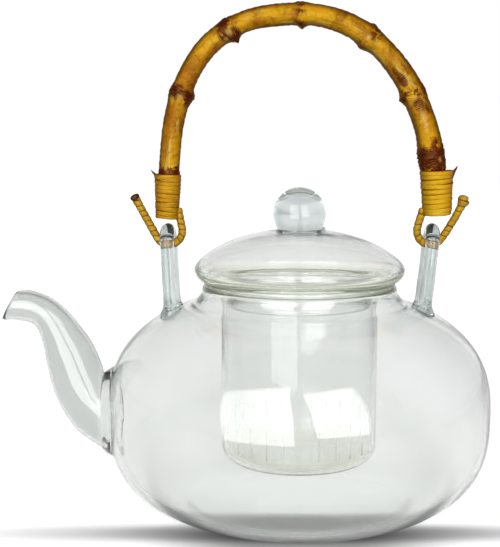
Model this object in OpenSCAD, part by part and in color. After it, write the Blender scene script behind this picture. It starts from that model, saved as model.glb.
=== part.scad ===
// Clear glass teapot with a glass infuser, a domed lid and a swinging bamboo bail.
// The origin is the centre of the base, on the table; the spout points to -X and +Z is up.

/* [Pot] */
// Largest outside radius of the belly
belly_r = 75; // [68:0.5:80]
// Height of the widest point
belly_z = 42.4; // [38:0.2:48]
// Radius of the flat base
base_r = 42; // [34:0.5:48]
// Height where the shoulder turns up into the neck
shoulder_z = 84.6; // [80:0.2:87]
// Outside radius of the neck
neck_r = 38; // [34.5:0.5:42]
// Height of the neck, from shoulder to rim
neck_h = 5.7; // [5:0.1:9]
// Thickness of the blown glass
glass_wall = 2.2; // [1.6:0.1:2.6]
// Thickness of the base
floor_t = 3; // [2:0.2:5]
// Fullness of the belly below its widest point
lower_fullness = 2.86; // [2.4:0.02:3.2]
// Fullness of the belly above its widest point
upper_fullness = 2.4; // [2.2:0.02:2.8]

/* [Spout] */
// Outside diameter where the spout is welded on
spout_root_d = 29.2; // [24:0.2:32]
// How far the middle of the spout's root lies below the belly's widest point
spout_drop = 2.6; // [0:0.2:6]
// Length of the short collar between belly and weld
spout_collar = 2.1; // [1.6:0.1:4]
// Bore through the belly wall
spout_hole_d = 22; // [12:0.5:23]
// Distance from the weld to the middle of the mouth
spout_reach = 36.5; // [30:0.5:44]
// Rise from the root's centre to the middle of the mouth
spout_rise = 42.4; // [36:0.4:48]
// Height of the oblique mouth, along its cut
spout_mouth_h = 13; // [11:0.2:15]
// Width of the mouth
spout_mouth_w = 12; // [10:0.2:14]
// Glass thickness of the spout
spout_wall = 1.7; // [1.2:0.1:2.2]

/* [Lugs] */
// Distance from the neck's outside to the middle of each lug
lug_gap = 12.9; // [11:0.1:14.5]
// Height of the swing axis, through the lug eyes, above the rim
hinge_rise = 15.9; // [13:0.1:18]
// Diameter of the bent glass rod
lug_rod_d = 5.4; // [4.4:0.1:5.6]
// Radius of the bend, to the rod's centre
lug_bend_r = 5.7; // [5.5:0.1:6]
// Outward lean of the lug over the spout
spout_side_lean = 3; // [0:0.5:5]
// Outward lean of the other lug
rear_lean = 6; // [0:0.5:7]
// Turn of the lug over the spout about its own upright
spout_side_turn = 4; // [0:0.5:5]
// Diameter of the blob of glass where a leg is welded on
lug_foot_d = 8.4; // [7:0.2:9]

/* [Infuser] */
// Outside diameter of the infuser tube
infuser_d = 60.8; // [56:0.2:61.6]
// Depth of its underside below the pot's rim
infuser_depth = 70.3; // [60:0.1:76]
// Corner radius round its bottom
infuser_corner = 8; // [5:0.5:10]
// Glass thickness of the infuser
infuser_wall = 1.8; // [1.4:0.1:2]
// Thickness of the flange that hangs on the rim
flange_t = 2; // [1.6:0.1:3]
// How far the flange stops short of the neck's outside
flange_inset = 0.6; // [0.2:0.1:1]
// Number of straining slits
slit_count = 28; // [12:1:32]
// Width of a slit
slit_w = 1.2; // [0.6:0.1:1.6]
// Height of a slit
slit_h = 12; // [6:0.5:20]

/* [Lid] */
// Largest radius of the lid
lid_r = 41; // [39.5:0.1:43]
// Height of the dome above the lid's widest point
dome_h = 15.3; // [12:0.1:18]
// Height of the curled edge below the widest point
lid_curl_h = 4.7; // [4:0.1:6]
// Fullness of the dome, 1 is an ellipse
dome_fullness = 1.36; // [1:0.02:1.6]
// Glass thickness of the lid
lid_wall = 2; // [1.6:0.1:2.4]
// Depth of the skirt below the flange's top
skirt_depth = 11.5; // [8:0.5:16]
// Gap between skirt and infuser
skirt_gap = 0.6; // [0.4:0.1:1]
// Thickness of the skirt
skirt_wall = 1.8; // [1.4:0.1:2.2]
// Diameter of the ball knob
knob_d = 20.7; // [17:0.1:22.5]
// How deep the ball sits below the top of the dome
knob_sink = 4.5; // [3:0.1:6]
// Diameter of the steam hole
vent_d = 1.4; // [1:0.1:1.8]
// Distance of the steam hole from the middle
vent_r = 9.6; // [9.3:0.1:12]

/* [Bail] */
// Height of the middle of the cane at its crown, above the swing axis
crown_rise = 88.4; // [84:0.2:94]
// Height above the swing axis where the arch stops bending
arch_base_rise = 18.8; // [15:0.2:22]
// How far the arch's foot stands outside the lug on the spout side
spout_side_splay = -0.3; // [-0.9:0.1:0.5]
// How far the arch's foot stands outside the other lug
rear_splay = 1.1; // [0.1:0.1:1.5]
// Fullness of the arch on the spout side
spout_side_arch = 2.6; // [2.3:0.02:2.9]
// Fullness of the arch on the other side
rear_arch = 2.06; // [1.9:0.02:2.3]
// Outward tilt of the cane's straight end on the spout side
spout_side_tilt = 1.9; // [1:0.1:3]
// Outward tilt of the cane's other straight end
rear_tilt = 2; // [1:0.1:2.4]
// Cane diameter near the spout-side end
cane_d_spout_side = 8.6; // [7.6:0.1:9.2]
// Cane diameter at the crown
cane_d_crown = 9.2; // [8:0.1:10.4]
// Cane diameter near the other end
cane_d_rear = 10.6; // [9.6:0.1:11]
// Diameter of the cane's pared end on the spout side
tenon_d_spout_side = 8.6; // [8:0.1:9]
// Diameter of the cane's other pared end
tenon_d_rear = 9; // [8.4:0.1:9.4]
// How much a pared end narrows to its foot
tenon_taper = 1.2; // [0.8:0.1:2]
// Height of the top of the bindings above the swing axis
binding_top_rise = 28.4; // [25:0.2:32]
// Height of the underside of the bindings above the swing axis
binding_bottom_rise = 11; // [10.6:0.1:11.8]
// Height above the swing axis where the cane ends inside the bindings
cane_end_rise = 15.2; // [14.4:0.1:17]
// Thickness of the wound rattan at its thinnest
binding_t = 0.7; // [0.5:0.05:1]
// Extra thickness on the outer side, over the wedge
binding_bulge = 1.8; // [1.4:0.1:2]
// How much a binding's radius narrows to its lower end
binding_taper = 0.6; // [0.4:0.1:0.8]
// Turns of rattan in a binding
binding_turns = 7; // [5:1:9]
// How far the wedge stands proud of the binding
wedge_proud = 2.7; // [1.5:0.1:4]
// Width of the wedge
wedge_w = 3.6; // [2.4:0.1:4.4]

/* [Hooks] */
// Outside diameter of the wound hook
hook_d = 3.4; // [2.8:0.1:3.4]
// Diameter of the hook's core
hook_core_d = 2.2; // [1.6:0.1:2.3]
// Bend radius between inner arm and eye, to the centre
hook_inner_r = 5.4; // [5.4:0.1:5.6]
// Bend radius between eye and free arm, to the centre
hook_outer_r = 5; // [4.8:0.1:5.4]
// Angle by which the inner arm leans out to the binding
hook_back_angle = 38; // [36:1:40]
// Slope of the free arm on the spout side, where it leaves the bend
spout_side_hook_slope = 59; // [57:1:62]
// Slope of the other free arm, where it leaves the bend
rear_hook_slope = 53; // [52:1:56]
// How much steeper the free arm on the spout side gets towards its tip
spout_side_hook_sweep = 0; // [0:1:6]
// How much steeper the other free arm gets towards its tip
rear_hook_sweep = 13; // [6:1:15]
// Length of the free arm
hook_tail = 17.8; // [12:0.1:19]
// Diameter of the cut end's cap
hook_tip_d = 3.8; // [3.6:0.1:4.2]
// Length of the cut end's cap
hook_cap_t = 1.4; // [0.8:0.1:2]

/* [Hidden] */

round_fn = 96;
small_fn = 48;
curve_steps = 22;           // bands between the base and the widest point, and again above it
dome_steps = 20;            // bands between the lid's widest point and its top
corner_steps = 8;           // bands round the infuser's bottom corner
through_cut = 1;            // how far a cut runs past the face it opens
spout_side = -1;
rear_side = 1;

// Pot: two superellipse quarters meet at the widest point.
base_share = pow(base_r / belly_r, lower_fullness);
lower_h = belly_z / pow(1 - base_share, 1 / lower_fullness);
rim_z = shoulder_z + neck_h;
neck_share = pow(neck_r / belly_r, upper_fullness);
upper_h = (shoulder_z - belly_z) / pow(1 - neck_share, 1 / upper_fullness);
neck_bore_r = neck_r - glass_wall;
neck_blend = 5;             // width over which the shoulder turns up
neck_straight = 1.6;        // upright stretch below the rim
neck_pull = [2.6, 2];       // how hard the turn follows the shoulder and the neck at its two ends
weld_x = belly_r + spout_collar;
spout_z = belly_z - spout_drop;

// Lugs, outside the lid's reach.
lug_x = neck_r + lug_gap;
hinge_z = rim_z + hinge_rise;

// Infuser, hung on the rim by its flange.
infuser_r = infuser_d / 2;
infuser_z = rim_z - infuser_depth;
infuser_bore_r = infuser_r - infuser_wall;
flange_r = neck_r - flange_inset;
flange_top_z = rim_z + flange_t;
slit_start = 1;             // the slits begin this far down in the rounded corner
slit_z = infuser_z + infuser_corner - slit_start;

// Lid, seated on the flange.
lid_seat_z = flange_top_z;
lid_edge_z = lid_seat_z + lid_curl_h;
dome_top_z = lid_edge_z + dome_h;
lid_foot_over = 0.4;        // the lid's foot stands this far outside the flange
lid_foot_r = flange_r + lid_foot_over;
inner_foot_r = lid_foot_r - lid_wall;
curl_pull = [1.2, 0.6, 2];  // pull on the curled edge: in from the side, up from the seat, down the side
skirt_r = infuser_bore_r - skirt_gap;
knob_z = dome_top_z - knob_sink + knob_d / 2;
vent_angle = 25;
vent_lip_t = 0.9;
vent_lip_d = vent_d + 2 * vent_lip_t;
vent_lip_h = 0.8;
vent_slope = 0.6;           // how far the dome has fallen at the steam hole

// Bail: two superellipse quarters meet at the crown, then a straight tail runs down into each binding.
arch_base_z = hinge_z + arch_base_rise;
arch_h = crown_rise - arch_base_rise;
cane_end_z = hinge_z + cane_end_rise;
binding_top_z = hinge_z + binding_top_rise;
binding_bottom_z = hinge_z + binding_bottom_rise;
cane_sides = 20;
cane_step = 1.5;            // degrees between rings
cane_ease = 3;              // rings over which the cane leaves its straight tail's size
bore_over = 8;              // how far the bore for the cane runs past the binding's top
// Nodes of the bamboo: angle round the arch from the rear end, swelling and half width in degrees
cane_knots = [[14.5, 1.5, 2.6], [33, 1.2, 2.2], [57, 1.5, 3], [90, 1.5, 2], [121, 1.6, 2.4], [148, 1.9, 2]];
binding_len = binding_top_z - binding_bottom_z;
wedge_t = 1.5;
wedge_sink = 0.8;           // how far the blank of a wedge reaches into the cane before it is cut to it
wedge_foot = [1.2, 2.5];    // thickness of a wedge at its foot, and the foot's height above the binding's end
wedge_neck = [0.6, 2];      // extra thickness near the binding's top, and how far below the top that is
wedge_tip = [1.4, 0.4, 0.3];    // lean of the tip's outer and inner corner, and the slant between them
wedge_root = [0.3, 0.6];    // inner corner where the wedge leaves the cane: lean, and depth below the top
seat_clear = 0.3;           // gap between a hook's seat and the cane's end
wrap_seat = 1.2;            // depth to which the wound part of a hook enters the binding
turn_groove = 0.3;          // depth of the groove between two turns of rattan

function lerp(a, b, t) = a + (b - a) * t;

// Outside of the pot, as radius and height; inset moves it in by a thickness.
function lower_point(t, inset) = let(z = lerp(inset > 0 ? floor_t : 0, belly_z, t))
    [(belly_r - inset) * pow(1 - pow((belly_z - z) / (lower_h - inset), lower_fullness),
        1 / lower_fullness), z];
function upper_z(r, inset) = belly_z + (upper_h - inset)
    * pow(1 - pow(r / (belly_r - inset), upper_fullness), 1 / upper_fullness);
function upper_point(t, inset) = let(r = shoulder_r(t, inset)) [r, upper_z(r, inset)];
function shoulder_r(t, inset) = (belly_r - inset)
    * pow(cos(t * shoulder_angle(inset)), 2 / upper_fullness);
function shoulder_angle(inset) =
    acos(pow((neck_r - inset + neck_blend) / (belly_r - inset), upper_fullness / 2));

// Cubic curve through a and d, leaving towards b and arriving from c.
function bezier(a, b, c, d, t) = pow(1 - t, 3) * a + 3 * t * pow(1 - t, 2) * b
    + 3 * t * t * (1 - t) * c + pow(t, 3) * d;
function neck_turn(inset) = let(r0 = neck_r - inset + neck_blend, z0 = upper_z(r0, inset),
    z1 = upper_z(r0 - 0.5, inset), dir = [-0.5, z1 - z0] / norm([-0.5, z1 - z0]))
    [for (t = [0.2:0.2:1]) bezier([r0, z0], [r0, z0] + dir * neck_pull[0],
        [neck_r - inset, rim_z - neck_straight - neck_pull[1]], [neck_r - inset, rim_z - neck_straight], t)];
function pot_side(inset) = concat(
    [for (i = [0:curve_steps]) lower_point(i / curve_steps, inset)],
    [for (i = [1:curve_steps]) upper_point(i / curve_steps, inset)],
    neck_turn(inset));

module pot_outer() {
    rotate_extrude($fn = round_fn)
        polygon(concat([[0, 0]], pot_side(0), [[neck_r, rim_z], [0, rim_z]]));
}

module pot_inner() {
    rotate_extrude($fn = round_fn)
        polygon(concat([[0, floor_t]], pot_side(glass_wall),
            [[neck_bore_r, rim_z + through_cut], [0, rim_z + through_cut]]));
}

module along_x(x, z) {
    translate([x, 0, z]) rotate([0, 90, 0]) children();
}

module pot_body() {
    color("lightcyan", 0.4)
    difference() {
        union() {
            pot_outer();
            along_x(-weld_x, spout_z)
                cylinder(d = spout_root_d, h = weld_x - neck_r, $fn = round_fn);
        }
        pot_inner();
        along_x(-weld_x - through_cut, spout_z)
            cylinder(d = spout_hole_d, h = weld_x - neck_r, $fn = round_fn);
    }
}

// Stations of the spout: run and rise as shares of reach and rise, tilt of the section,
// then its height and width as shares of the way from mouth to root.
spout_line = [
    [0, 0, 90, 1, 1],
    [0.095, 0.087, 78, 0.99, 0.93],
    [0.177, 0.175, 70, 0.99, 0.87],
    [0.308, 0.379, 59, 0.85, 0.67],
    [0.41, 0.597, 50, 0.49, 0.42],
    [0.5, 0.785, 50, 0.2, 0.22],
    [0.63, 0.94, 56, -0.02, 0.05],
    [0.83, 1, 62, 0, 0],
    [1, 1, 62.4, 0, 0]];
spout_sides = 32;
spout_substeps = 4;

// Smooth curve through a list of stations.
function through(a, b, c, d, t) = 0.5 * ((2 * b) + (c - a) * t + (2 * a - 5 * b + 4 * c - d) * t * t
    + (3 * b - a - 3 * c + d) * t * t * t);
function station(list, i) = i < 0 ? 2 * list[0] - list[1]
    : i > len(list) - 1 ? 2 * list[len(list) - 1] - list[len(list) - 2] : list[i];
function smooth(list, steps) = concat(
    [for (i = [0:len(list) - 2], k = [0:steps - 1])
        through(station(list, i - 1), list[i], list[i + 1], station(list, i + 2), k / steps)],
    [list[len(list) - 1]]);

function spout_ring(s, thin) = let(
    c = [-weld_x - s[0] * spout_reach, 0, spout_z + s[1] * spout_rise],
    h = lerp(spout_mouth_h, spout_root_d, s[3]) / 2 - thin,
    w = lerp(spout_mouth_w, spout_root_d, s[4]) / 2 - thin)
    [for (k = [0:spout_sides - 1]) let(a = 360 * k / spout_sides)
        c + h * cos(a) * [cos(s[2]), 0, sin(s[2])] + w * sin(a) * [0, 1, 0]];

// Closed wall between an outer and an inner stack of rings with n points each.
module tube_wall(outer, inner, n) {
    m = len(outer);
    points = concat([for (r = outer) each r], [for (r = inner) each r]);
    function o(i, k) = i * n + k % n;
    function q(i, k) = (m + i) * n + k % n;
    polyhedron(points, concat(
        [for (i = [0:m - 2], k = [0:n - 1]) each [[o(i, k), o(i, k + 1), o(i + 1, k + 1)],
            [o(i, k), o(i + 1, k + 1), o(i + 1, k)]]],
        [for (i = [0:m - 2], k = [0:n - 1]) each [[q(i, k), q(i + 1, k + 1), q(i, k + 1)],
            [q(i, k), q(i + 1, k), q(i + 1, k + 1)]]],
        [for (k = [0:n - 1]) each [[o(0, k), q(0, k + 1), o(0, k + 1)], [o(0, k), q(0, k), q(0, k + 1)]]],
        [for (k = [0:n - 1]) each [[o(m - 1, k), o(m - 1, k + 1), q(m - 1, k + 1)],
            [o(m - 1, k), q(m - 1, k + 1), q(m - 1, k)]]]));
}

module spout() {
    stations = smooth(spout_line, spout_substeps);
    color("lightcyan", 0.4)
    tube_wall([for (s = stations) spout_ring(s, 0)], [for (s = stations) spout_ring(s, spout_wall)],
        spout_sides);
}

// Height of the pot's outside at a distance from the axis.
function shoulder_at(r) = upper_z(r, 0);

module glass_lug(side, lean, turn) {
    leg = hinge_z - shoulder_at(lug_x + lug_rod_d);
    foot_drop = (hinge_z - shoulder_at(norm([lug_x, lug_bend_r]))) / cos(lean);
    color("lightcyan", 0.6)
    difference() {
        translate([side * lug_x, 0, hinge_z])
        rotate([0, 0, side * turn])
        rotate([0, side * lean, 0]) {
            rotate([0, 0, 90]) rotate([90, 0, 0])
                rotate_extrude(angle = 180, $fn = small_fn)
                    translate([lug_bend_r, 0]) circle(d = lug_rod_d, $fn = small_fn);
            for (y = [-lug_bend_r, lug_bend_r]) {
                translate([0, y, -leg]) cylinder(d = lug_rod_d, h = leg, $fn = small_fn);
                translate([0, y, -foot_drop]) sphere(d = lug_foot_d, $fn = small_fn);
            }
        }
        pot_outer();
    }
}

module spout_side_lug() {
    glass_lug(spout_side, spout_side_lean, spout_side_turn);
}

module rear_lug() {
    glass_lug(rear_side, rear_lean, 0);
}

// Quarter round of n steps from angle a0 to a1 about a centre.
function arc(c, r, a0, a1, n) = [for (i = [0:n]) c + r * [cos(lerp(a0, a1, i / n)), sin(lerp(a0, a1, i / n))]];

module infuser() {
    inner_corner = infuser_corner - infuser_wall;
    corner_z = infuser_z + infuser_corner;
    color("azure", 0.4)
    difference() {
        rotate_extrude($fn = round_fn)
            polygon(concat([[0, infuser_z]],
                arc([infuser_r - infuser_corner, corner_z], infuser_corner, -90, 0, corner_steps),
                [[infuser_r, rim_z], [flange_r, rim_z], [flange_r, flange_top_z],
                    [infuser_bore_r, flange_top_z]],
                arc([infuser_r - infuser_corner, corner_z], inner_corner, 0, -90, corner_steps),
                [[0, infuser_z + infuser_wall]]));
        for (i = [0:slit_count - 1])
            rotate([0, 0, 360 * i / slit_count])
                translate([infuser_bore_r - through_cut, -slit_w / 2, slit_z])
                    cube([infuser_wall + 2 * through_cut, slit_w, slit_h]);
    }
}

// Dome of the lid, from its widest point to its top, moved in by a thickness.
function dome_side(inset, n) = [for (i = [0:n]) let(a = 90 * i / n)
    [(lid_r - inset) * cos(a), lid_edge_z + (dome_h - inset) * pow(sin(a), dome_fullness)]];

module lid_outer() {
    rotate_extrude($fn = round_fn)
        polygon(concat([[0, lid_seat_z], [lid_foot_r, lid_seat_z]],
            [for (t = [0.25:0.25:0.75]) bezier([lid_foot_r, lid_seat_z],
                [lid_r - curl_pull[0], lid_seat_z + curl_pull[1]],
                [lid_r, lid_edge_z - curl_pull[2]], [lid_r, lid_edge_z], t)],
            dome_side(0, dome_steps), [[0, dome_top_z]]));
}

module lid_inner() {
    rotate_extrude($fn = round_fn)
        polygon(concat([[0, lid_seat_z - through_cut], [inner_foot_r, lid_seat_z - through_cut],
            [inner_foot_r, lid_seat_z]],
            dome_side(lid_wall, dome_steps), [[0, dome_top_z - lid_wall]]));
}

module lid_dome() {
    vent_x = vent_r * cos(vent_angle);
    vent_y = vent_r * sin(vent_angle);
    color("lightcyan", 0.4)
    difference() {
        union() {
            lid_outer();
            translate([vent_x, vent_y, dome_top_z - lid_wall])
                cylinder(d = vent_lip_d, h = lid_wall + vent_lip_h - vent_slope, $fn = small_fn);
        }
        lid_inner();
        translate([vent_x, vent_y, lid_edge_z]) cylinder(d = vent_d, h = dome_h * 2, $fn = small_fn);
    }
}

module lid_skirt() {
    tube_h = skirt_depth + dome_h + lid_curl_h;
    color("azure", 0.4)
    intersection() {
        translate([0, 0, flange_top_z - skirt_depth])
            difference() {
                cylinder(r = skirt_r, h = tube_h, $fn = round_fn);
                translate([0, 0, -through_cut])
                    cylinder(r = skirt_r - skirt_wall, h = tube_h + 2 * through_cut, $fn = round_fn);
            }
        union() {
            lid_inner();
            translate([0, 0, lid_seat_z - skirt_depth - through_cut])
                cylinder(r = skirt_r + through_cut, h = skirt_depth + through_cut, $fn = round_fn);
        }
    }
}

module lid_knob() {
    color("lightcyan", 0.6)
    difference() {
        translate([0, 0, knob_z]) sphere(d = knob_d, $fn = round_fn);
        lid_outer();
    }
}

// Point of the arch in X and Z at an angle round it from the rear end.
function arch_span(a) = lug_x + (a <= 90 ? rear_splay : spout_side_splay);
function arch_power(a) = a <= 90 ? rear_arch : spout_side_arch;
function arch_point(a) = let(n = arch_power(a),
    k = pow(pow(abs(cos(a)), n) + pow(sin(a), n), -1 / n))
    [arch_span(a) * k * cos(a), arch_base_z + arch_h * k * sin(a)];
// Angle at which the arch reaches the top of a binding.
function tail_angle(side) = let(n = side > 0 ? rear_arch : spout_side_arch,
    v = (binding_top_z - arch_base_z) / arch_h, u = pow(1 - pow(v, n), 1 / n), a = atan2(v, u))
    side > 0 ? a : 180 - a;
function tail_top(side) = arch_point(tail_angle(side));
function tail_tilt(side) = side > 0 ? rear_tilt : spout_side_tilt;
// Direction of the straight tail, pointing down.
function tail_dir(side) = [side * sin(tail_tilt(side)), -cos(tail_tilt(side))];
function tenon_d(side) = side > 0 ? tenon_d_rear : tenon_d_spout_side;
function cane_d(a) = a <= 90 ? lerp(cane_d_rear, cane_d_crown, a / 90)
    : lerp(cane_d_crown, cane_d_spout_side, (a - 90) / 90);
function swelling(a) = max([for (k = cane_knots) k[1] * exp(-pow((a - k[0]) / k[2], 2))]);

// Places things in a binding: origin at the tail's top, -Z down the tail, +X away from the pot.
module on_tail(side) {
    translate([tail_top(side)[0], 0, tail_top(side)[1]])
        rotate([0, 0, side > 0 ? 0 : 180])
            rotate([0, -tail_tilt(side), 0]) children();
}

// Closed solid through a stack of rings with n points each.
module swept(rings, n) {
    m = len(rings);
    polyhedron([for (r = rings) each r], concat(
        [[for (k = [0:n - 1]) k]],
        [for (i = [0:m - 2], k = [0:n - 1]) let(p = i * n, j = (k + 1) % n)
            each [[p + k, p + n + k, p + n + j], [p + k, p + n + j, p + j]]],
        [[for (k = [n - 1:-1:0]) (m - 1) * n + k]]));
}

function ring_at(c, dir, d) = let(side = [dir[1], 0, -dir[0]])
    [for (k = [0:cane_sides - 1]) let(a = 360 * k / cane_sides)
        [c[0], 0, c[1]] + d / 2 * (cos(a) * side + sin(a) * [0, 1, 0])];

module handle_cane() {
    a0 = tail_angle(rear_side);
    a1 = tail_angle(spout_side);
    count = round((a1 - a0) / cane_step);
    function tenon_ring(side, drop, up) = ring_at(
        tail_top(side) + tail_dir(side) * drop / cos(tail_tilt(side)), up * tail_dir(side),
        tenon_d(side) - (drop > 0 ? tenon_taper : 0));
    end_drop = binding_top_z - cane_end_z;
    rings = concat(
        [tenon_ring(rear_side, end_drop, -1), tenon_ring(rear_side, 0, -1)],
        [for (i = [1:count - 1]) let(a = lerp(a0, a1, i / count),
            d = arch_point(a + 0.5) - arch_point(a - 0.5),
            ease = min(1, min(i, count - i) / cane_ease))
            ring_at(arch_point(a), d / norm(d), lerp(tenon_d(a < 90 ? rear_side : spout_side), cane_d(a), ease)
                + swelling(a) * ease)],
        [tenon_ring(spout_side, 0, 1), tenon_ring(spout_side, end_drop, 1)]);
    color("goldenrod") swept(rings, cane_sides);
}

// Wedge driven in on the outer side, lying against the cane and leaning out at its top.
module wedge_blank(side) {
    x0 = tenon_d(side) / 2 - wedge_sink;
    x1 = x0 + wedge_t;
    foot_z = wedge_foot[1] - binding_len;
    rotate([90, 0, 0])
        translate([0, 0, -wedge_w / 2])
            linear_extrude(height = wedge_w)
                polygon([[x0, foot_z], [x0 + wedge_foot[0], foot_z],
                    [x1 + wedge_neck[0], -wedge_neck[1]], [x1 + wedge_tip[0], wedge_proud],
                    [x1 + wedge_tip[1], wedge_proud - wedge_tip[2]], [x0 + wedge_root[0], -wedge_root[1]]]);
}

// Room that the cane's pared end takes, carried on upwards; the cane's flats lie just inside it.
module cane_bore(side) {
    end_drop = (binding_top_z - cane_end_z) / cos(tail_tilt(side));
    translate([0, 0, -end_drop])
        cylinder(d1 = tenon_d(side) - tenon_taper, d2 = tenon_d(side), h = end_drop, $fn = round_fn);
    cylinder(d = tenon_d(side), h = bore_over, $fn = round_fn);
}

module wedge(side) {
    color("saddlebrown")
    on_tail(side)
    difference() {
        wedge_blank(side);
        cane_bore(side);
    }
}

module binding(side) {
    outer_r = tenon_d(side) / 2 + binding_t + binding_bulge / 2;
    turn_h = binding_len / binding_turns;
    function turn_r(i) = outer_r - binding_taper * (1 - i / binding_turns);
    color("gold")
    difference() {
        on_tail(side)
        difference() {
            translate([binding_bulge / 2, 0, -binding_len])
                rotate_extrude($fn = round_fn)
                    polygon(concat([[0, 0]],
                        [for (i = [0:binding_turns - 1]) each [[turn_r(i) - turn_groove, i * turn_h],
                            [turn_r(i), (i + 0.25) * turn_h], [turn_r(i + 1), (i + 0.75) * turn_h]]],
                        [[outer_r - turn_groove, binding_len], [0, binding_len]]));
            cane_bore(side);
            wedge_blank(side);
        }
        arm_hole(side, hook_d, wrap_seat_y);
        arm_hole(side, hook_core_d, core_seat_y);
    }
}

// A hook in its own plane: X away from the pot and Y up, from the eye's centre. Stations run from the
// arm's seat in the binding, round the eye and up the free arm, as place and heading.
hook_sides = 16;
hook_bend_steps = 12;
arm_foot = hook_inner_r * [-cos(hook_back_angle), 1 + sin(hook_back_angle)];
arm_dir = [sin(hook_back_angle), cos(hook_back_angle)];
free_arm_steps = 6;
core_seat_y = cane_end_z - hinge_z - hook_core_d / 2 * sin(hook_back_angle) - seat_clear;
wrap_seat_y = binding_bottom_z - hinge_z + wrap_seat;

function hook_slope(side) = side > 0 ? rear_hook_slope : spout_side_hook_slope;
function hook_sweep(side) = side > 0 ? rear_hook_sweep : spout_side_hook_sweep;
function heading(a) = [cos(a), sin(a)];
// Heading of the free arm after i of its steps, and the arm's place there.
function free_slope(side, i) = hook_slope(side) + hook_sweep(side) * i / free_arm_steps;
function free_point(side, i) = i == 0
    ? hook_outer_r * [sin(hook_slope(side)), 1 - cos(hook_slope(side))]
    : free_point(side, i - 1) + heading(free_slope(side, i - 0.5)) * hook_tail / free_arm_steps;
function on_arm(y) = arm_foot + arm_dir * (y - arm_foot[1]) / cos(hook_back_angle);
function hook_line(side, seat_y) = concat(
    [[on_arm(seat_y), 270 - hook_back_angle]],
    [for (i = [0:hook_bend_steps]) let(a = lerp(180 - hook_back_angle, 270, i / hook_bend_steps))
        [hook_inner_r * [cos(a), 1 + sin(a)], a + 90]],
    [for (i = [1:hook_bend_steps]) let(a = lerp(270, 270 + hook_slope(side), i / hook_bend_steps))
        [hook_outer_r * [cos(a), 1 + sin(a)], a + 90]],
    [for (i = [1:free_arm_steps]) [free_point(side, i), free_slope(side, i)]]);
function hook_ring(s, r) = [for (k = [0:hook_sides - 1]) let(a = 360 * k / hook_sides)
    [s[0][0] - r * cos(a) * sin(s[1]), s[0][1] + r * cos(a) * cos(s[1]), r * sin(a)]];

// Turns the hook's plane upright at the lug eye.
module at_eye(side) {
    translate([side * lug_x, 0, hinge_z]) rotate([0, 0, side > 0 ? 0 : 180]) rotate([90, 0, 0]) children();
}

// Straight hole along the inner arm, from below the binding up to a seat.
module arm_hole(side, d, seat_y) {
    at_eye(side)
        translate([arm_foot[0], arm_foot[1], 0])
            rotate([0, 0, 90 - hook_back_angle]) rotate([0, 90, 0])
                cylinder(d = d, h = (seat_y - arm_foot[1]) / cos(hook_back_angle), $fn = small_fn);
}

module hook_core(side) {
    line = hook_line(side, core_seat_y);
    end = line[len(line) - 1];
    cap = [end[0] + heading(end[1]) * hook_cap_t, end[1]];
    color("saddlebrown")
    at_eye(side)
        swept(concat([for (s = line) hook_ring(s, hook_core_d / 2)],
            [hook_ring(end, hook_tip_d / 2), hook_ring(cap, hook_tip_d / 2)]), hook_sides);
}

module hook_wrap(side) {
    line = hook_line(side, wrap_seat_y);
    color("olive")
    at_eye(side)
        tube_wall([for (s = line) hook_ring(s, hook_d / 2)],
            [for (s = line) hook_ring(s, hook_core_d / 2)], hook_sides);
}

module spout_side_binding() { binding(spout_side); }
module rear_binding() { binding(rear_side); }
module spout_side_wedge() { wedge(spout_side); }
module rear_wedge() { wedge(rear_side); }
module spout_side_hook_core() { hook_core(spout_side); }
module rear_hook_core() { hook_core(rear_side); }
module spout_side_hook_wrap() { hook_wrap(spout_side); }
module rear_hook_wrap() { hook_wrap(rear_side); }

pot_body();
spout();
spout_side_lug();
rear_lug();
infuser();
lid_dome();
lid_skirt();
lid_knob();
handle_cane();
spout_side_binding();
rear_binding();
spout_side_wedge();
rear_wedge();
spout_side_hook_core();
rear_hook_core();
spout_side_hook_wrap();
rear_hook_wrap();
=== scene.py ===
import math
import bmesh
import bpy
import numpy as np
from mathutils import Matrix, Vector


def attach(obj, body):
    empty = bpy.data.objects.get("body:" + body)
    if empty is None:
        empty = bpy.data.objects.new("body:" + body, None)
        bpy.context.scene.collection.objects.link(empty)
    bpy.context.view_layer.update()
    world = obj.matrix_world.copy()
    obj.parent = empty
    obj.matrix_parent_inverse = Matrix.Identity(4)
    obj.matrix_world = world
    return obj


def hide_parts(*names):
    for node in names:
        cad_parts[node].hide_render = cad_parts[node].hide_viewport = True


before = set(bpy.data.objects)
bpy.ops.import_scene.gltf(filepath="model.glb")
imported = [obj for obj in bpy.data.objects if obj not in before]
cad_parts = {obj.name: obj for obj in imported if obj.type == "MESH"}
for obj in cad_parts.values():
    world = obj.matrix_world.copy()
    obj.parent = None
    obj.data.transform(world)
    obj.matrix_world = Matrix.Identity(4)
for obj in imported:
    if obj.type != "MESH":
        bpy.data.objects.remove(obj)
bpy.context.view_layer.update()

toMetres = 0.001
seamGap = 0.03        # mm of air between two glass pieces that touch
mergeGap = 2e-6       # metres within which two points of a mesh become one
print("frame loaded:", len(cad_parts), "nodes")


# tools for shapes, in millimetres until surface() writes metres
def gridQuads(rows, columns, wrapRows, wrapColumns):
    # faces between neighbouring points of a grid, wrapped round either way
    up = np.arange(rows if wrapRows else rows - 1)[:, None]
    side = np.arange(columns if wrapColumns else columns - 1)[None, :]
    nextUp = (up + 1) % rows
    nextSide = (side + 1) % columns
    corners = [(up, side), (nextUp, side), (nextUp, nextSide), (up, nextSide)]
    return np.stack([row * columns + column for row, column in corners], -1).reshape(-1, 4)


def smoothMesh(mesh, sharp):
    mesh.polygons.foreach_set("use_smooth", np.ones(len(mesh.polygons), dtype=bool))
    mesh.set_sharp_from_angle(angle=math.radians(sharp))
    mesh.update()


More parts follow.
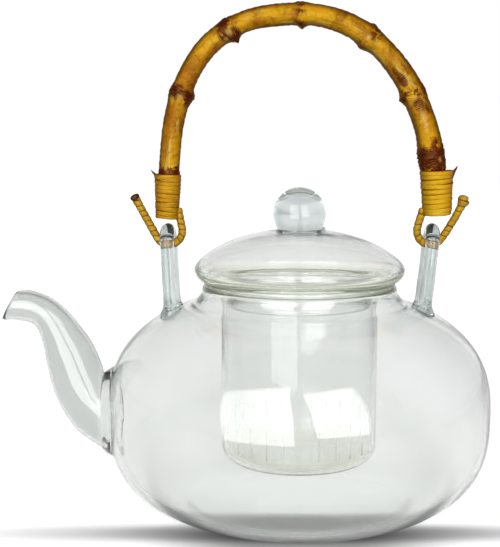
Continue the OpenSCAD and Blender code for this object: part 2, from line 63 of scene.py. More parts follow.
def surface(name, grid, wrapRows=False, wrapColumns=True, attributes=None, sharp=35):
    # a grid of points (rows, columns, 3) becomes a merged, outward-facing, smooth mesh, with fields on it
    quads = gridQuads(*grid.shape[:2], wrapRows, wrapColumns)
    mesh = bpy.data.meshes.new(name)
    mesh.vertices.add(grid.size // 3)
    mesh.vertices.foreach_set("co", (grid * toMetres).astype(np.float32).ravel())
    mesh.loops.add(quads.size)
    mesh.loops.foreach_set("vertex_index", quads.astype(np.int32).ravel())
    mesh.polygons.add(len(quads))
    mesh.polygons.foreach_set("loop_start", np.arange(0, quads.size, 4, dtype=np.int32))
    mesh.update(calc_edges=True)
    for label, values in (attributes or {}).items():
        kind, key = ("FLOAT_VECTOR", "vector") if values.ndim == 3 else ("FLOAT", "value")
        layer = mesh.attributes.new(label, kind, "POINT")
        layer.data.foreach_set(key, values.astype(np.float32).ravel())
    shape = bmesh.new()
    shape.from_mesh(mesh)
    bmesh.ops.remove_doubles(shape, verts=shape.verts, dist=mergeGap)
    bmesh.ops.dissolve_degenerate(shape, edges=shape.edges, dist=mergeGap / 2)
    if shape.calc_volume(signed=True) < 0:
        bmesh.ops.reverse_faces(shape, faces=shape.faces)
    shape.to_mesh(mesh)
    shape.free()
    smoothMesh(mesh, sharp)
    piece = bpy.data.objects.new(name, mesh)
    bpy.context.scene.collection.objects.link(piece)
    return piece


def joinPieces(name, pieces):
    # one object from several, so that a winding of many strands is one piece
    shape = bmesh.new()
    for piece in pieces:
        shape.from_mesh(piece.data)
    shape.to_mesh(pieces[0].data)
    shape.free()
    for piece in pieces[1:]:
        bpy.data.objects.remove(piece)
    pieces[0].name = name
    return pieces[0]


def carve(piece, tool, how="DIFFERENCE"):
    # an exact Boolean, applied, so that the piece keeps a plain mesh
    step = piece.modifiers.new("carve", "BOOLEAN")
    step.operation = how
    step.solver = "EXACT"
    step.object = tool
    graph = bpy.context.evaluated_depsgraph_get()
    mesh = bpy.data.meshes.new_from_object(piece.evaluated_get(graph))
    piece.modifiers.clear()
    piece.data = mesh
    smoothMesh(mesh, 35)
    bpy.data.objects.remove(tool)


def place(piece, body, slot, material, *nodes):
    # a finished piece gets its material and its body, and the nodes that it stands for are hidden
    piece.data.materials.clear()
    piece.data.materials.append(material)
    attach(piece, body)
    if nodes:
        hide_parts(*nodes)


def shifted(x, y, z):
    # a matrix that moves by a distance in millimetres
    return Matrix.Translation((x * toMetres, y * toMetres, z * toMetres))


def evenTurns(count):
    return np.arange(count) * 2 * np.pi / count


def turned(profile, angles):
    # every profile point (radius, height) carried round the axis: (r cos a, r sin a, z)
    radius, z = profile[:, :1], profile[:, 1:]
    return np.stack([radius * np.cos(angles), radius * np.sin(angles), z + 0 * angles], -1)


def lathe(name, profile, turns):
    return surface(name, turned(np.asarray(profile, float), evenTurns(turns)))


def arc(x, z, radius, start, end, count):
    # part of a circle between two angles in degrees
    a = np.radians(np.linspace(start, end, count))
    return np.stack([x + radius * np.cos(a), z + radius * np.sin(a)], 1)


def straightLine(a, b, steps):
    t = np.linspace(0, 1, steps + 1)[:, None]
    return np.asarray(a, float) * (1 - t) + np.asarray(b, float) * t


def bezier(a, b, c, d, steps):
    # cubic curve from a to d, pulled towards b and c
    t = np.linspace(0, 1, steps + 1)[:, None]
    a, b, c, d = (np.asarray(p, float) for p in (a, b, c, d))
    return (1 - t) ** 3 * a + 3 * t * (1 - t) ** 2 * b + 3 * t ** 2 * (1 - t) * c + t ** 3 * d


def lineLength(line):
    return np.concatenate([[0], np.cumsum(np.hypot(*np.diff(line, axis=0).T))])


def sampled(line, run, at):
    # every column of a line read at distances along it
    return np.stack([np.interp(at, run, column) for column in line.T], -1)


def cutLine(line, start, end):
    # the part of a line between two distances along it
    run = lineLength(line)
    keep = (run > start + 1e-6) & (run < end - 1e-6)
    ends = sampled(line, run, [start, end])
    return np.concatenate([ends[:1], line[keep], ends[1:]])


def joinSoft(first, second, reach, steps):
    # two lines that share a corner, joined by the quadratic curve that starts reach before the corner
    corner = first[-1]
    before = cutLine(first, 0, lineLength(first)[-1] - reach)
    after = cutLine(second, reach, lineLength(second)[-1])
    t = np.linspace(0, 1, steps + 1)[1:-1, None]
    bend = (1 - t) ** 2 * before[-1] + 2 * t * (1 - t) * corner + t ** 2 * after[0]
    return np.concatenate([before, bend, after])


def headingOf(line):
    # unit directions along a line
    heading = np.gradient(line, axis=0)
    return heading / np.hypot(*heading.T)[:, None]


def ringsRound(middle, heading, radius, around):
    # rings round a line in the X-Z plane: middle + radius (cos a across the line + sin a along Y)
    out = radius * np.cos(around)
    return np.stack([middle[..., 0] + out * heading[..., 1], radius * np.sin(around) + 0 * out,
                     middle[..., 1] - out * heading[..., 0]], -1)


def padEnds(rows, count=1):
    return np.concatenate([np.repeat(rows[:1], count, 0), rows, np.repeat(rows[-1:], count, 0)])


def closeEnds(grid):
    # one more ring at each end, drawn together to its middle
    grid = padEnds(grid)
    grid[[0, -1]] = grid[[0, -1]].mean(1, keepdims=True)
    return grid


def runningAverage(rows, width):
    # each column averaged along the rows under a soft window of odd width
    kernel = np.hanning(width)
    kernel /= kernel.sum()
    return np.stack([np.convolve(column, kernel, "valid") for column in padEnds(rows, width // 2).T], 1)


def smoothStep(low, high, value):
    t = np.clip((value - low) / (high - low), 0, 1)
    return t * t * (3 - 2 * t)


def waves(u, v, seed, count, lowest, highest):
    # a sum of sine waves of random direction and phase, about -1 to 1, periodic in v over 2 pi
    chance = np.random.default_rng(seed)
    total = 0
    for _ in range(count):
        along = chance.uniform(lowest, highest) * chance.choice([-1, 1])
        around = chance.integers(0, int(highest) + 1)
        total = total + np.sin(along * u + around * v + chance.uniform(0, 2 * np.pi))
    return total / count ** 0.5


# tools for materials
def setInput(tree, socket, value):
    # another node's output is linked, anything else is a fixed value
    if isinstance(value, bpy.types.NodeSocket):
        tree.links.new(value, socket)
    else:
        socket.default_value = value


def put(tree, kind, inputs=None, **settings):
    # one node with its settings and its inputs
    node = tree.nodes.new("ShaderNode" + kind)
    for key, value in settings.items():
        setattr(node, key, value)
    for key, value in (inputs or {}).items():
        setInput(tree, node.inputs[key], value)
    return node


def mathNode(tree, operation, *values):
    return put(tree, "Math", dict(enumerate(values)), operation=operation).outputs[0]


def multiply(tree, *values):
    total = values[0]
    for value in values[1:]:
        total = mathNode(tree, "MULTIPLY", total, value)
    return total


def vectorMath(tree, operation, *values, output="Vector"):
    return put(tree, "VectorMath", dict(enumerate(values)), operation=operation).outputs[output]


def axisOf(tree, vector, axis):
    return put(tree, "SeparateXYZ", {0: vector}).outputs[axis]


def mapRange(tree, value, low, high, toLow=0.0, toHigh=1.0):
    return put(tree, "MapRange", {"Value": value, "From Min": low, "From Max": high, "To Min": toLow,
                                  "To Max": toHigh}, interpolation_type="SMOOTHSTEP").outputs["Result"]


def mixValue(tree, factor, a, b):
    return put(tree, "Mix", {0: factor, 2: a, 3: b}, data_type="FLOAT").outputs[0]


def mixColour(tree, factor, a, b):
    node = put(tree, "Mix", data_type="RGBA")
    for key, value in (("Factor_Float", factor), ("A_Color", a), ("B_Color", b)):
        setInput(tree, next(socket for socket in node.inputs if socket.identifier == key), value)
    return next(socket for socket in node.outputs if socket.identifier == "Result_Color")


def noise(tree, where, scale, detail, roughness=0.5, distortion=0.0):
    return put(tree, "TexNoise", {"Vector": where, "Scale": scale, "Detail": detail, "Roughness": roughness,
                                  "Distortion": distortion}).outputs["Fac"]


def relief(tree, height, strength, depth):
    return put(tree, "Bump", {"Height": height, "Strength": strength, "Distance": depth}).outputs[0]


def readAttribute(tree, name, output="Fac"):
    return put(tree, "Attribute", attribute_name=name, attribute_type="GEOMETRY").outputs[output]


def newMaterial(name):
    material = bpy.data.materials.new(name)
    material.use_nodes = True
    material.node_tree.nodes.clear()
    return material, material.node_tree


def newGroup(name, inputs, outputs):
    # a node group with a vector and number inputs and number outputs
    group = bpy.data.node_groups.new(name, "ShaderNodeTree")
    group.interface.new_socket(name="Vector", in_out="INPUT", socket_type="NodeSocketVector")
    for label, value in inputs.items():
        socket = group.interface.new_socket(name=label, in_out="INPUT", socket_type="NodeSocketFloat")
        socket.default_value = value
    for label in outputs:
        group.interface.new_socket(name=label, in_out="OUTPUT", socket_type="NodeSocketFloat")
    return group, group.nodes.new("NodeGroupInput").outputs, group.nodes.new("NodeGroupOutput").inputs


def useGroup(tree, group, inputs):
    return put(tree, "Group", inputs, node_tree=group).outputs


def makeFibreGroup():
    # fine lines that run along the first coordinate: noise squeezed across it
    group, give, take = newGroup("fibreStreaks", {"Along": 60.0, "Across": 1200.0}, ["Streak", "Height"])
    squeeze = put(group, "CombineXYZ", {"X": give["Along"], "Y": give["Across"], "Z": give["Across"]})
    spread = vectorMath(group, "MULTIPLY", give["Vector"], squeeze.outputs[0])
    coarse = multiply(group, noise(group, spread, 1.0, 3.0, 0.6), 0.6)
    blend = mathNode(group, "MULTIPLY_ADD", noise(group, spread, 3.1, 2.0), 0.4, coarse)
    setInput(group, take["Streak"], mapRange(group, blend, 0.32, 0.68))
    setInput(group, take["Height"], blend)
    return group


def makeStainGroup():
    # soft-edged patches: noise above a level
    group, give, take = newGroup("stainPatches", {"Scale": 200.0, "Level": 0.55, "Softness": 0.1}, ["Mask"])
    patch = noise(group, give["Vector"], give["Scale"], 4.0, 0.6, 0.6)
    low = mathNode(group, "SUBTRACT", give["Level"], give["Softness"])
    high = mathNode(group, "ADD", give["Level"], give["Softness"])
    setInput(group, take["Mask"], mapRange(group, patch, low, high))
    return group


def makeRippleGroup():
    # slow waves of hand-blown glass with a trace of finer ones
    group, give, take = newGroup("blownRipple", {"Scale": 30.0, "Fine": 0.1}, ["Height"])
    slow = noise(group, give["Vector"], give["Scale"], 1.0, 0.4)
    quick = noise(group, give["Vector"], 260.0, 2.0)
    setInput(group, take["Height"], mathNode(group, "MULTIPLY_ADD", quick, give["Fine"], slow))
    return group


fibreGroup = makeFibreGroup()
stainGroup = makeStainGroup()
rippleGroup = makeRippleGroup()


def fibres(tree, where, fineness):
    along, across = fineness
    return useGroup(tree, fibreGroup, {"Vector": where, "Along": along, "Across": across})


def stainMask(tree, where, scale, level, softness):
    inputs = {"Vector": where, "Scale": scale, "Level": level, "Softness": softness}
    return useGroup(tree, stainGroup, inputs)["Mask"]


def stainOver(tree, tone, colour, where, patch, strength):
    # patches of a colour over a tone; patch is their scale, level and softness
    return mixColour(tree, multiply(tree, stainMask(tree, where, *patch), strength), tone, colour)


# the last two entries are the colour and soft edge of a painted glow in the thick rims
glassLook = dict(ior=1.47, roughness=0.004, transmission=0.97, ripple=0.00035, fineRipple=0.02,
                 bodyColour=(0.70, 0.75, 0.71, 1), shadeClear=(0.972, 0.976, 0.972, 1),
                 shadeEdge=(0.7, 0.72, 0.7, 1), cloudyAndGlow=(0.033, 0.037, 0.024, 1), glowSoft=0.0006)


def makeGlass(name, tint, density, ripple=1.0, scale=30.0, parts=(), cloudyAndGlow=None, ior=glassLook["ior"]):
    # clear glass with a faint grey-green body; density is its absorption for each metre of glass.
    # parts are places with a tint of their own: axis, start and end of the change, tint. Some follow thicker
    # glass; the darker ones on the spout and the knob are painted shade.
    # cloudy is the lowest and highest z of a band on the thick rim where a faint glow is painted in: painted
    # light that brightens it
    material, tree = newMaterial(name)
    look = glassLook
    where = put(tree, "TexCoord").outputs["Object"]
    for axis, low, high, partTint in parts:
        tint = mixColour(tree, mapRange(tree, axisOf(tree, where, axis), low, high), tint, partTint)
    waviness = useGroup(tree, rippleGroup, {"Vector": where, "Scale": scale, "Fine": look["fineRipple"]})
    glass = put(tree, "BsdfPrincipled", {"Base Color": tint, "Metallic": 0.0, "Roughness": look["roughness"],
                                         "IOR": ior, "Transmission Weight": look["transmission"],
                                         "Normal": relief(tree, waviness["Height"], 1.0,
                                                          look["ripple"] * ripple)})
    # painted light: the band gives off a faint glow of its own
    if cloudyAndGlow:
        low, high = cloudyAndGlow
        soft = look["glowSoft"]
        rise = axisOf(tree, where, "Z")
        band = multiply(tree, mapRange(tree, rise, low - soft, low + soft),
                        mapRange(tree, rise, high + soft, high - soft))
        setInput(tree, glass.inputs["Emission Color"], mixColour(tree, band, (0, 0, 0, 1), look["cloudyAndGlow"]))
        glass.inputs["Emission Strength"].default_value = 1.0
    # lamps pass straight through, weaker where the wall is seen edge-on
    facing = put(tree, "LayerWeight", {"Blend": 0.5}).outputs["Facing"]
    shade = mixColour(tree, mapRange(tree, facing, 0.3, 1.0), look["shadeClear"], look["shadeEdge"])
    through = put(tree, "BsdfTransparent", {"Color": shade})
    path = put(tree, "LightPath").outputs
    fromMatt = mathNode(tree, "MAXIMUM", path["Is Shadow Ray"], path["Is Diffuse Ray"])
    mix = put(tree, "MixShader", {0: fromMatt, 1: glass.outputs[0], 2: through.outputs[0]})
    body = put(tree, "VolumeAbsorption", {"Color": look["bodyColour"], "Density": density})
    put(tree, "OutputMaterial", {"Surface": mix.outputs[0], "Volume": body.outputs[0]})
    return material


def varnish(tree, look, tone, streak, height):
    # lacquered fibre: fine relief, gloss that follows the streaks and a thin tinted coat
    rough = mapRange(tree, streak, 0.0, 1.0, look["dull"], look["glossy"])
    normal = relief(tree, height, look["relief"], look["reliefDepth"])
    shader = put(tree, "BsdfPrincipled", {"Base Color": tone, "Roughness": rough, "IOR": 1.45,
                                          "Normal": normal, "Specular IOR Level": look["specular"],
                                          "Specular Tint": look["gleam"], "Coat Weight": 1.0,
                                          "Coat IOR": 1.06, "Coat Tint": look["coat"],
                                          "Coat Roughness": look["coatDull"]})
    put(tree, "OutputMaterial", {"Surface": shader.outputs[0]})


caneLook = dict(amber=(0.95, 0.50, 0.010, 1), gold=(1.0, 0.86, 0.04, 1), brown=(0.36, 0.12, 0.006, 1),
                paintedGlint=(1.0, 1.0, 0.36, 1), knot=(0.12, 0.004, 0.003, 1), scar=(0.09, 0.003, 0.002, 1),
                pale=(1.0, 0.84, 0.44, 1), olive=(0.15, 0.075, 0.006, 1), coat=(0.64, 0.48, 0.25, 1),
                gleam=(1.0, 0.80, 0.36, 1), dull=0.34, glossy=0.2, specular=0.7, coatDull=0.15, relief=0.6,
                reliefDepth=0.00025, fibre=(55.0, 900.0),
                # patches: scale, level and softness, then how strong they are; the flecks are painted
                # highlights
                clouds=(95.0, 0.56, 0.12), glintPatches=(330.0, 0.6, 0.07), stains=(210.0, 0.58, 0.1),
                spots=(420.0, 0.5, 0.12), cloudyAndGlow=0.75, glinted=0.75, stained=0.5,
                # metres from the bow's middle line where the painted edge shade starts and ends, and how much
                outside=(0.0022, 0.0044, 0.0, 0.9), inside=(-0.0028, -0.0044, 0.0, 0.7))


def makeCaneSkin():
    # varnished bamboo: fibres, clouds and painted highlight flecks along the cane, then painted shade on the
    # edges, knots and scars
    material, tree = newMaterial("varnishedCane")
    look = caneLook
    straight = readAttribute(tree, "straight", "Vector")
    streak = fibres(tree, straight, look["fibre"])
    tone = mixColour(tree, streak["Streak"], look["amber"], look["gold"])
    drawn = vectorMath(tree, "MULTIPLY", straight, (0.2, 1.0, 1.0))
    tone = stainOver(tree, tone, look["brown"], straight, look["clouds"], look["cloudyAndGlow"])
    # painted highlights: bright flecks drawn out along the cane
    tone = stainOver(tree, tone, look["paintedGlint"], drawn, look["glintPatches"], look["glinted"])
    tone = stainOver(tree, tone, look["brown"], drawn, look["stains"], look["stained"])
    # painted shade: the skin is darkened along the outside and the inside of the bow, where the cane turns
    # away from the front
    bow = axisOf(tree, straight, "Y")
    paintedRims = [mapRange(tree, bow, *look[side]) for side in ("outside", "inside")]
    tone = mixColour(tree, mathNode(tree, "MAXIMUM", *paintedRims), tone, look["olive"])
    # knots with ragged edges, scars, and pale patches, one of them a painted highlight, come from the piece's
    # own fields
    knot = mathNode(tree, "SUBTRACT", readAttribute(tree, "knot"), 0.25)
    spots = stainMask(tree, straight, *look["spots"])
    ragged = mathNode(tree, "MULTIPLY_ADD", spots, 0.5, knot)
    tone = mixColour(tree, mapRange(tree, ragged, 0.08, 0.5), tone, look["knot"])
    tone = mixColour(tree, mapRange(tree, readAttribute(tree, "scar"), 0.25, 0.8), tone, look["scar"])
    tone = mixColour(tree, multiply(tree, readAttribute(tree, "pale"), 0.8), tone, look["pale"])
    varnish(tree, look, tone, streak["Streak"], mathNode(tree, "MULTIPLY_ADD", spots, 0.4, streak["Height"]))
    return material


strandLook = dict(coat=(0.70, 0.55, 0.40, 1), gleam=(1.0, 0.76, 0.35, 1), dull=0.5, glossy=0.36, specular=0.6,
                  coatDull=0.2, relief=0.7, reliefDepth=0.00015, fibre=(120.0, 2600.0),
                  clouds=(160.0, 0.57, 0.1), glintPatches=(230.0, 0.62, 0.08), cloudyAndGlow=0.6, glinted=0.55)


def makeStrand(name, light, deep, edge, paintedGlint):
    # split rattan: light and deep fibres along the strand, painted highlight flecks, and painted shade darker
    # towards its edges where strands meet
    material, tree = newMaterial(name)
    straight = readAttribute(tree, "straight", "Vector")
    look = strandLook
    streak = fibres(tree, straight, look["fibre"])
    tone = mixColour(tree, streak["Streak"], deep, light)
    tone = stainOver(tree, tone, deep, straight, look["clouds"], look["cloudyAndGlow"])
    # painted highlights: bright flecks along the strand
    tone = stainOver(tree, tone, paintedGlint, straight, look["glintPatches"], look["glinted"])
    # painted shade: the strand darkens towards its edges, in the creases where it meets the next turn
    across = mathNode(tree, "ABSOLUTE", readAttribute(tree, "across"))
    tone = mixColour(tree, mapRange(tree, across, 0.62, 1.02), tone, edge)
    varnish(tree, look, tone, streak["Streak"], streak["Height"])
    return material


# the band heights passed as cloudy are where each glass gets its painted glow
bodyGlass = makeGlass("blownGlass", (0.984, 0.992, 0.986, 1), 40.0, cloudyAndGlow=(0.0880, 0.2),
                      # the spout's darker tint is painted shade for its greyer look
                      parts=[("X", -0.0765, -0.079, (0.815, 0.835, 0.825, 1))])      # the spout
thinGlass = makeGlass("thinGlass", (0.970, 0.977, 0.972, 1), 15.0, 0.6, 45.0, cloudyAndGlow=(0.0897, 0.2), ior=1.38,
                      parts=[("Z", 0.0290, 0.0265, (0.935, 0.945, 0.885, 1))])       # the round foot
lidGlass = makeGlass("lidGlass", (0.99, 0.995, 0.991, 1), 24.0, 0.6, 45.0, cloudyAndGlow=(0.0919, 0.0966),
                     # the ball's darker tint, and the still darker top, are painted shade for the grey look
                     # of solid glass
                     parts=[("Z", 0.1120, 0.1132, (0.75, 0.785, 0.79, 1)),           # the ball
                            ("Z", 0.1278, 0.1296, (0.62, 0.655, 0.66, 1)),           # its top
                            ("Z", 0.0952, 0.0940, (0.986, 0.992, 0.955, 1)),         # the curled edge
                            ("Z", 0.0922, 0.0916, (0.99, 0.995, 0.991, 1))])         # the skirt
# the rods' darker tint is painted shade, standing in for the grey look of solid glass rods
rodGlass = makeGlass("glassRod", (0.69, 0.735, 0.73, 1), 40.0, 0.5, 90.0)
caneSkin = makeCaneSkin()
# light and deep fibres, painted shade for the strand's edges, painted highlight flecks
strandTones = {
    "bindingRattan": [(1.0, 0.86, 0.03), (0.82, 0.48, 0.012), (0.22, 0.08, 0.004), (1.0, 1.0, 0.22)],
    "agedRattan": [(0.95, 0.68, 0.03), (0.52, 0.28, 0.010), (0.13, 0.045, 0.003), (1.0, 0.95, 0.22)],
    "hookRattan": [(0.80, 0.64, 0.06), (0.52, 0.34, 0.022), (0.15, 0.075, 0.01), (1.0, 0.95, 0.26)],
    "darkSplint": [(0.14, 0.065, 0.03), (0.05, 0.02, 0.012), (0.03, 0.014, 0.01), (0.22, 0.08, 0.06)]}
strand = {name: makeStrand(name, *[(*tone, 1) for tone in tones]) for name, tones in strandTones.items()}
print("materials made")


pot = dict(bellyR=74.96, bellyZ=42.4, lowerH=45.65, upperH=46.2, lowerPower=2.86, upperPower=2.4, wall=2.2,
           floorT=3.0, neckR=38.0, rimZ=90.3, neckBlend=5.0, neckPull=(2.6, 2.0), neckStraight=1.6,
           baseSoft=2.2, insideSoft=4.0, outerSteps=(74, 58, 10), innerSteps=(52, 46, 8), turns=288,
           crowding=0.55)
spout = dict(rootX=-77.1, rootZ=39.8, rootD=29.2, reach=36.5, rise=42.4, mouthH=13.0, mouthW=12.0, wall=1.7,
             sunk=0.35, filletEnd=18.8, lipShare=0.37, borePlace=-72.5, boreDepth=7.0, substeps=14, sides=80,
             # run and rise as shares, tilt of the section, then height and width as shares towards the root
             line=[[0, 0, 90, 1, 1], [0.095, 0.087, 78, 0.99, 0.93], [0.177, 0.175, 70, 0.99, 0.87],
                   [0.308, 0.379, 59, 0.85, 0.67], [0.41, 0.597, 50, 0.49, 0.42], [0.5, 0.785, 50, 0.2, 0.22],
                   [0.63, 0.94, 56, -0.02, 0.05], [0.83, 1, 62, 0, 0], [1, 1, 62.4, 0, 0]])


def shoulderZ(radius, inset=0.0):
    # upper half of the belly, a superellipse: height at a distance from the axis
    share = np.clip(radius / (pot["bellyR"] - inset), 0, 1)
    power = pot["upperPower"]
    return pot["bellyZ"] + (pot["upperH"] - inset) * (1 - share ** power) ** (1 / power)


def potSide(inset, lowerSteps, upperSteps, neckSteps):
    # outline from the floor to the rim: lower superellipse, upper superellipse, then the turn into the neck
    v = pot
    bottom = v["floorT"] if inset else 0.0
    z = bottom + (v["bellyZ"] - bottom) * np.linspace(0, 1, lowerSteps + 1) ** 1.15
    fall = (v["bellyZ"] - z) / (v["lowerH"] - inset)
    bellyR = v["bellyR"] - inset
    lower = np.stack([bellyR * (1 - fall ** v["lowerPower"]) ** (1 / v["lowerPower"]), z], 1)
    last = math.acos(((v["neckR"] - inset + v["neckBlend"]) / bellyR) ** (v["upperPower"] / 2))
    r = bellyR * np.cos(np.linspace(0, last, upperSteps + 1)[1:]) ** (2 / v["upperPower"])
    upper = np.stack([r, shoulderZ(r, inset)], 1)
    slope = upper[-1] - upper[-2]
    slope = slope / np.hypot(*slope)
    neckR = v["neckR"] - inset
    neckZ = v["rimZ"] - v["neckStraight"]
    neck = bezier(upper[-1], upper[-1] + slope * v["neckPull"][0], [neckR, neckZ - v["neckPull"][1]],
                  [neckR, neckZ], neckSteps)
    return np.concatenate([lower, upper, neck[1:]])


def potOutline(inset, steps, soft, softSteps):
    # the floor's line, a soft corner and the side
    side = potSide(inset, *steps)
    return joinSoft(straightLine([0, side[0, 1]], side[0], 10), side, soft, softSteps)


def makePot():
    v = pot
    outer = potOutline(0, v["outerSteps"], v["baseSoft"], 7)
    inner = potOutline(v["wall"], v["innerSteps"], v["insideSoft"], 8)
    half = v["wall"] / 2
    lip = arc(v["neckR"] - half, v["rimZ"] - seamGap - half, half, 0, 180, 9)
    # columns stand closer together on the spout's side
    t = evenTurns(v["turns"])
    grid = turned(np.concatenate([outer, lip, inner[::-1]]), t + v["crowding"] * np.sin(t))
    # the outside is pulled out to a flat seat for the spout, with a soft fillet round it
    x, y, z = (grid[:len(outer), :, k] for k in range(3))
    away = np.hypot(y, z - spout["rootZ"])
    pull = (1 - smoothStep(spout["rootD"] / 2 + 0.2, spout["filletEnd"], away)) * (x < -v["bellyR"] * 0.67)
    grid[:len(outer), :, 0] = x + (spout["rootX"] + seamGap - x) * pull
    piece = surface("potGlass", grid)
    bore = spout["rootD"] / 2 - spout["wall"]
    deep = spout["boreDepth"]
    hole = lathe("holeTool", [[0, -deep], [bore, -deep], [bore, deep], [0, deep]], spout["sides"])
    hole.data.transform(shifted(spout["borePlace"], 0, spout["rootZ"]) @ Matrix.Rotation(math.pi / 2, 4, "Y"))
    carve(piece, hole)
    return piece


def throughStations(stations, substeps):
    # Catmull-Rom curve through rows of numbers
    s = np.asarray(stations, float)
    s = np.concatenate([[2 * s[0] - s[1]], s, [2 * s[-1] - s[-2]]])
    t = (np.arange(substeps) / substeps)[None, :, None]
    a, b, c, d = (s[k:len(s) - 3 + k][:, None, :] for k in range(4))
    curve = 0.5 * (2 * b + (c - a) * t + (2 * a - 5 * b + 4 * c - d) * t ** 2
                   + (3 * b - a - 3 * c + d) * t ** 3)
    return np.concatenate([curve.reshape(-1, s.shape[1]), s[-2:-1]])


def makeSpout():
    # elliptical rings tilted to stand across a smooth line, out to a half-round lip and back along the inside
    v = spout
    s = throughStations(v["line"], v["substeps"])
    a = evenTurns(v["sides"])[None, :]

    def rings(stations, thin):
        along, up, tilt, high, wide = (stations[:, k:k + 1] for k in range(5))
        x = v["rootX"] - along * v["reach"] + v["sunk"] * (along < 0.001)
        z = v["rootZ"] + up * v["rise"]
        tilt = np.radians(tilt)
        high = (v["mouthH"] + (v["rootD"] - v["mouthH"]) * high) / 2 - thin
        wide = (v["mouthW"] + (v["rootD"] - v["mouthW"]) * wide) / 2 - thin
        return np.stack([x + high * np.cos(a) * np.cos(tilt), wide * np.sin(a) + 0 * x,
                         z + high * np.cos(a) * np.sin(tilt)], -1)

    half = v["wall"] / 2
    endShare = 1 - half / (v["lipShare"] * v["reach"])
    last = sampled(s, s[:, 0], [endShare])
    body = np.concatenate([s[s[:, 0] < endShare], last])
    turn = np.radians(np.linspace(0, 180, 9))[1:-1]
    lip = [rings(last + (s[-1:] - last) * math.sin(t), half - half * math.cos(t)) for t in turn]
    grid = np.concatenate([rings(body, 0), *lip, rings(body[::-1], v["wall"])])
    return surface("spoutGlass", grid, wrapRows=True)


lug = dict(x=50.9, hingeZ=106.2, rod=5.4, bendR=5.7, foot=8.6, footReach=2.0, legEndZ=74.0,
           lean={-1: 3.0, 1: 6.0}, turn={-1: 4.0, 1: 0.0}, sides=40, legSteps=30, bendSteps=48)


def makeLug(name, side):
    # a rod along an upside-down U in the Y-Z plane, with flared feet laid on the shoulder. Point at angle a:
    # centre of the section + radius (sin a along X + cos a across the line), then leaned and turned
    v = lug
    drop = v["hingeZ"] - v["legEndZ"]
    legZ = -drop + drop * np.linspace(0, 1, v["legSteps"] + 1) ** 0.8
    bend = np.radians(np.linspace(0, 180, v["bendSteps"] + 1))[1:-1]
    y = np.concatenate([0 * legZ - v["bendR"], -v["bendR"] * np.cos(bend), 0 * legZ + v["bendR"]])
    z = np.concatenate([legZ, v["bendR"] * np.sin(bend), legZ[::-1]])
    heading = np.radians(np.concatenate([0 * legZ + 90, 90 - np.degrees(bend), 0 * legZ - 90]))
    rise = z - shoulderZ(np.hypot(v["x"], v["bendR"])) + v["hingeZ"]
    flare = (v["foot"] - v["rod"]) / 2 * np.exp(-(np.clip(rise, 0, None) / v["footReach"]) ** 2)
    radius = v["rod"] / 2 + flare
    # both feet end in rings that shrink to a point
    shrink = np.linspace(0, 1, 7)[:-1]
    radius = np.concatenate([radius[0] * shrink, radius, radius[-1] * shrink[::-1]])
    y, z, heading = (padEnds(values, len(shrink)) for values in (y, z, heading))
    radius, y, z, heading = (values[:, None] for values in (radius, y, z, heading))
    a = evenTurns(v["sides"])[None, :]
    x = radius * np.sin(a)
    y, z = y - radius * np.cos(a) * np.sin(heading), z + radius * np.cos(a) * np.cos(heading)
    lean = math.radians(side * v["lean"][side])
    turn = math.radians(side * v["turn"][side])
    x, z = x * math.cos(lean) + z * math.sin(lean), z * math.cos(lean) - x * math.sin(lean)
    x, y = side * v["x"] + x * math.cos(turn) - y * math.sin(turn), x * math.sin(turn) + y * math.cos(turn)
    z = np.maximum(v["hingeZ"] + z, shoulderZ(np.hypot(x, y)) + seamGap)
    return surface(name, np.stack([x, y, z], -1), sharp=60)


potPiece = makePot()
carve(potPiece, makeSpout(), "UNION")
place(potPiece, "pot", "clear_glass", bodyGlass, "pot_body", "spout")
place(makeLug("spoutSideLug", -1), "pot", "clear_glass", rodGlass, "spout_side_lug")
place(makeLug("rearLug", 1), "pot", "clear_glass", rodGlass, "rear_lug")
print("pot made")


infuser = dict(r=30.4, wall=1.8, z=20.0, corner=8.0, flangeR=37.4, seatZ=90.3, topZ=92.3, slits=28,
               slitW=0.08, slitH=12.0, slitZ=27.0, slitReach=1.5, turns=224)


def makeSlits(inside, outside):
    # a bar with a slit's outline for every slit, from inside the wall to outside it: flat sides, round ends
    v = infuser
    a = np.radians(np.arange(0, 360, 30))
    across = v["slitW"] / 2 * np.cos(a)
    up = v["slitW"] / 2 * np.sin(a) + np.sign(np.sin(a + 1e-6)) * (v["slitH"] - v["slitW"]) / 2
    radius = np.array([[inside], [outside]])
    z = v["slitZ"] + v["slitH"] / 2 + up + 0 * radius
    bars = []
    for turn in evenTurns(v["slits"]):
        x = radius * math.cos(turn) - across * math.sin(turn)
        y = radius * math.sin(turn) + across * math.cos(turn)
        bars.append(surface("slit", closeEnds(np.stack([x, y, z], -1))))
    return joinPieces("slitTool", bars)


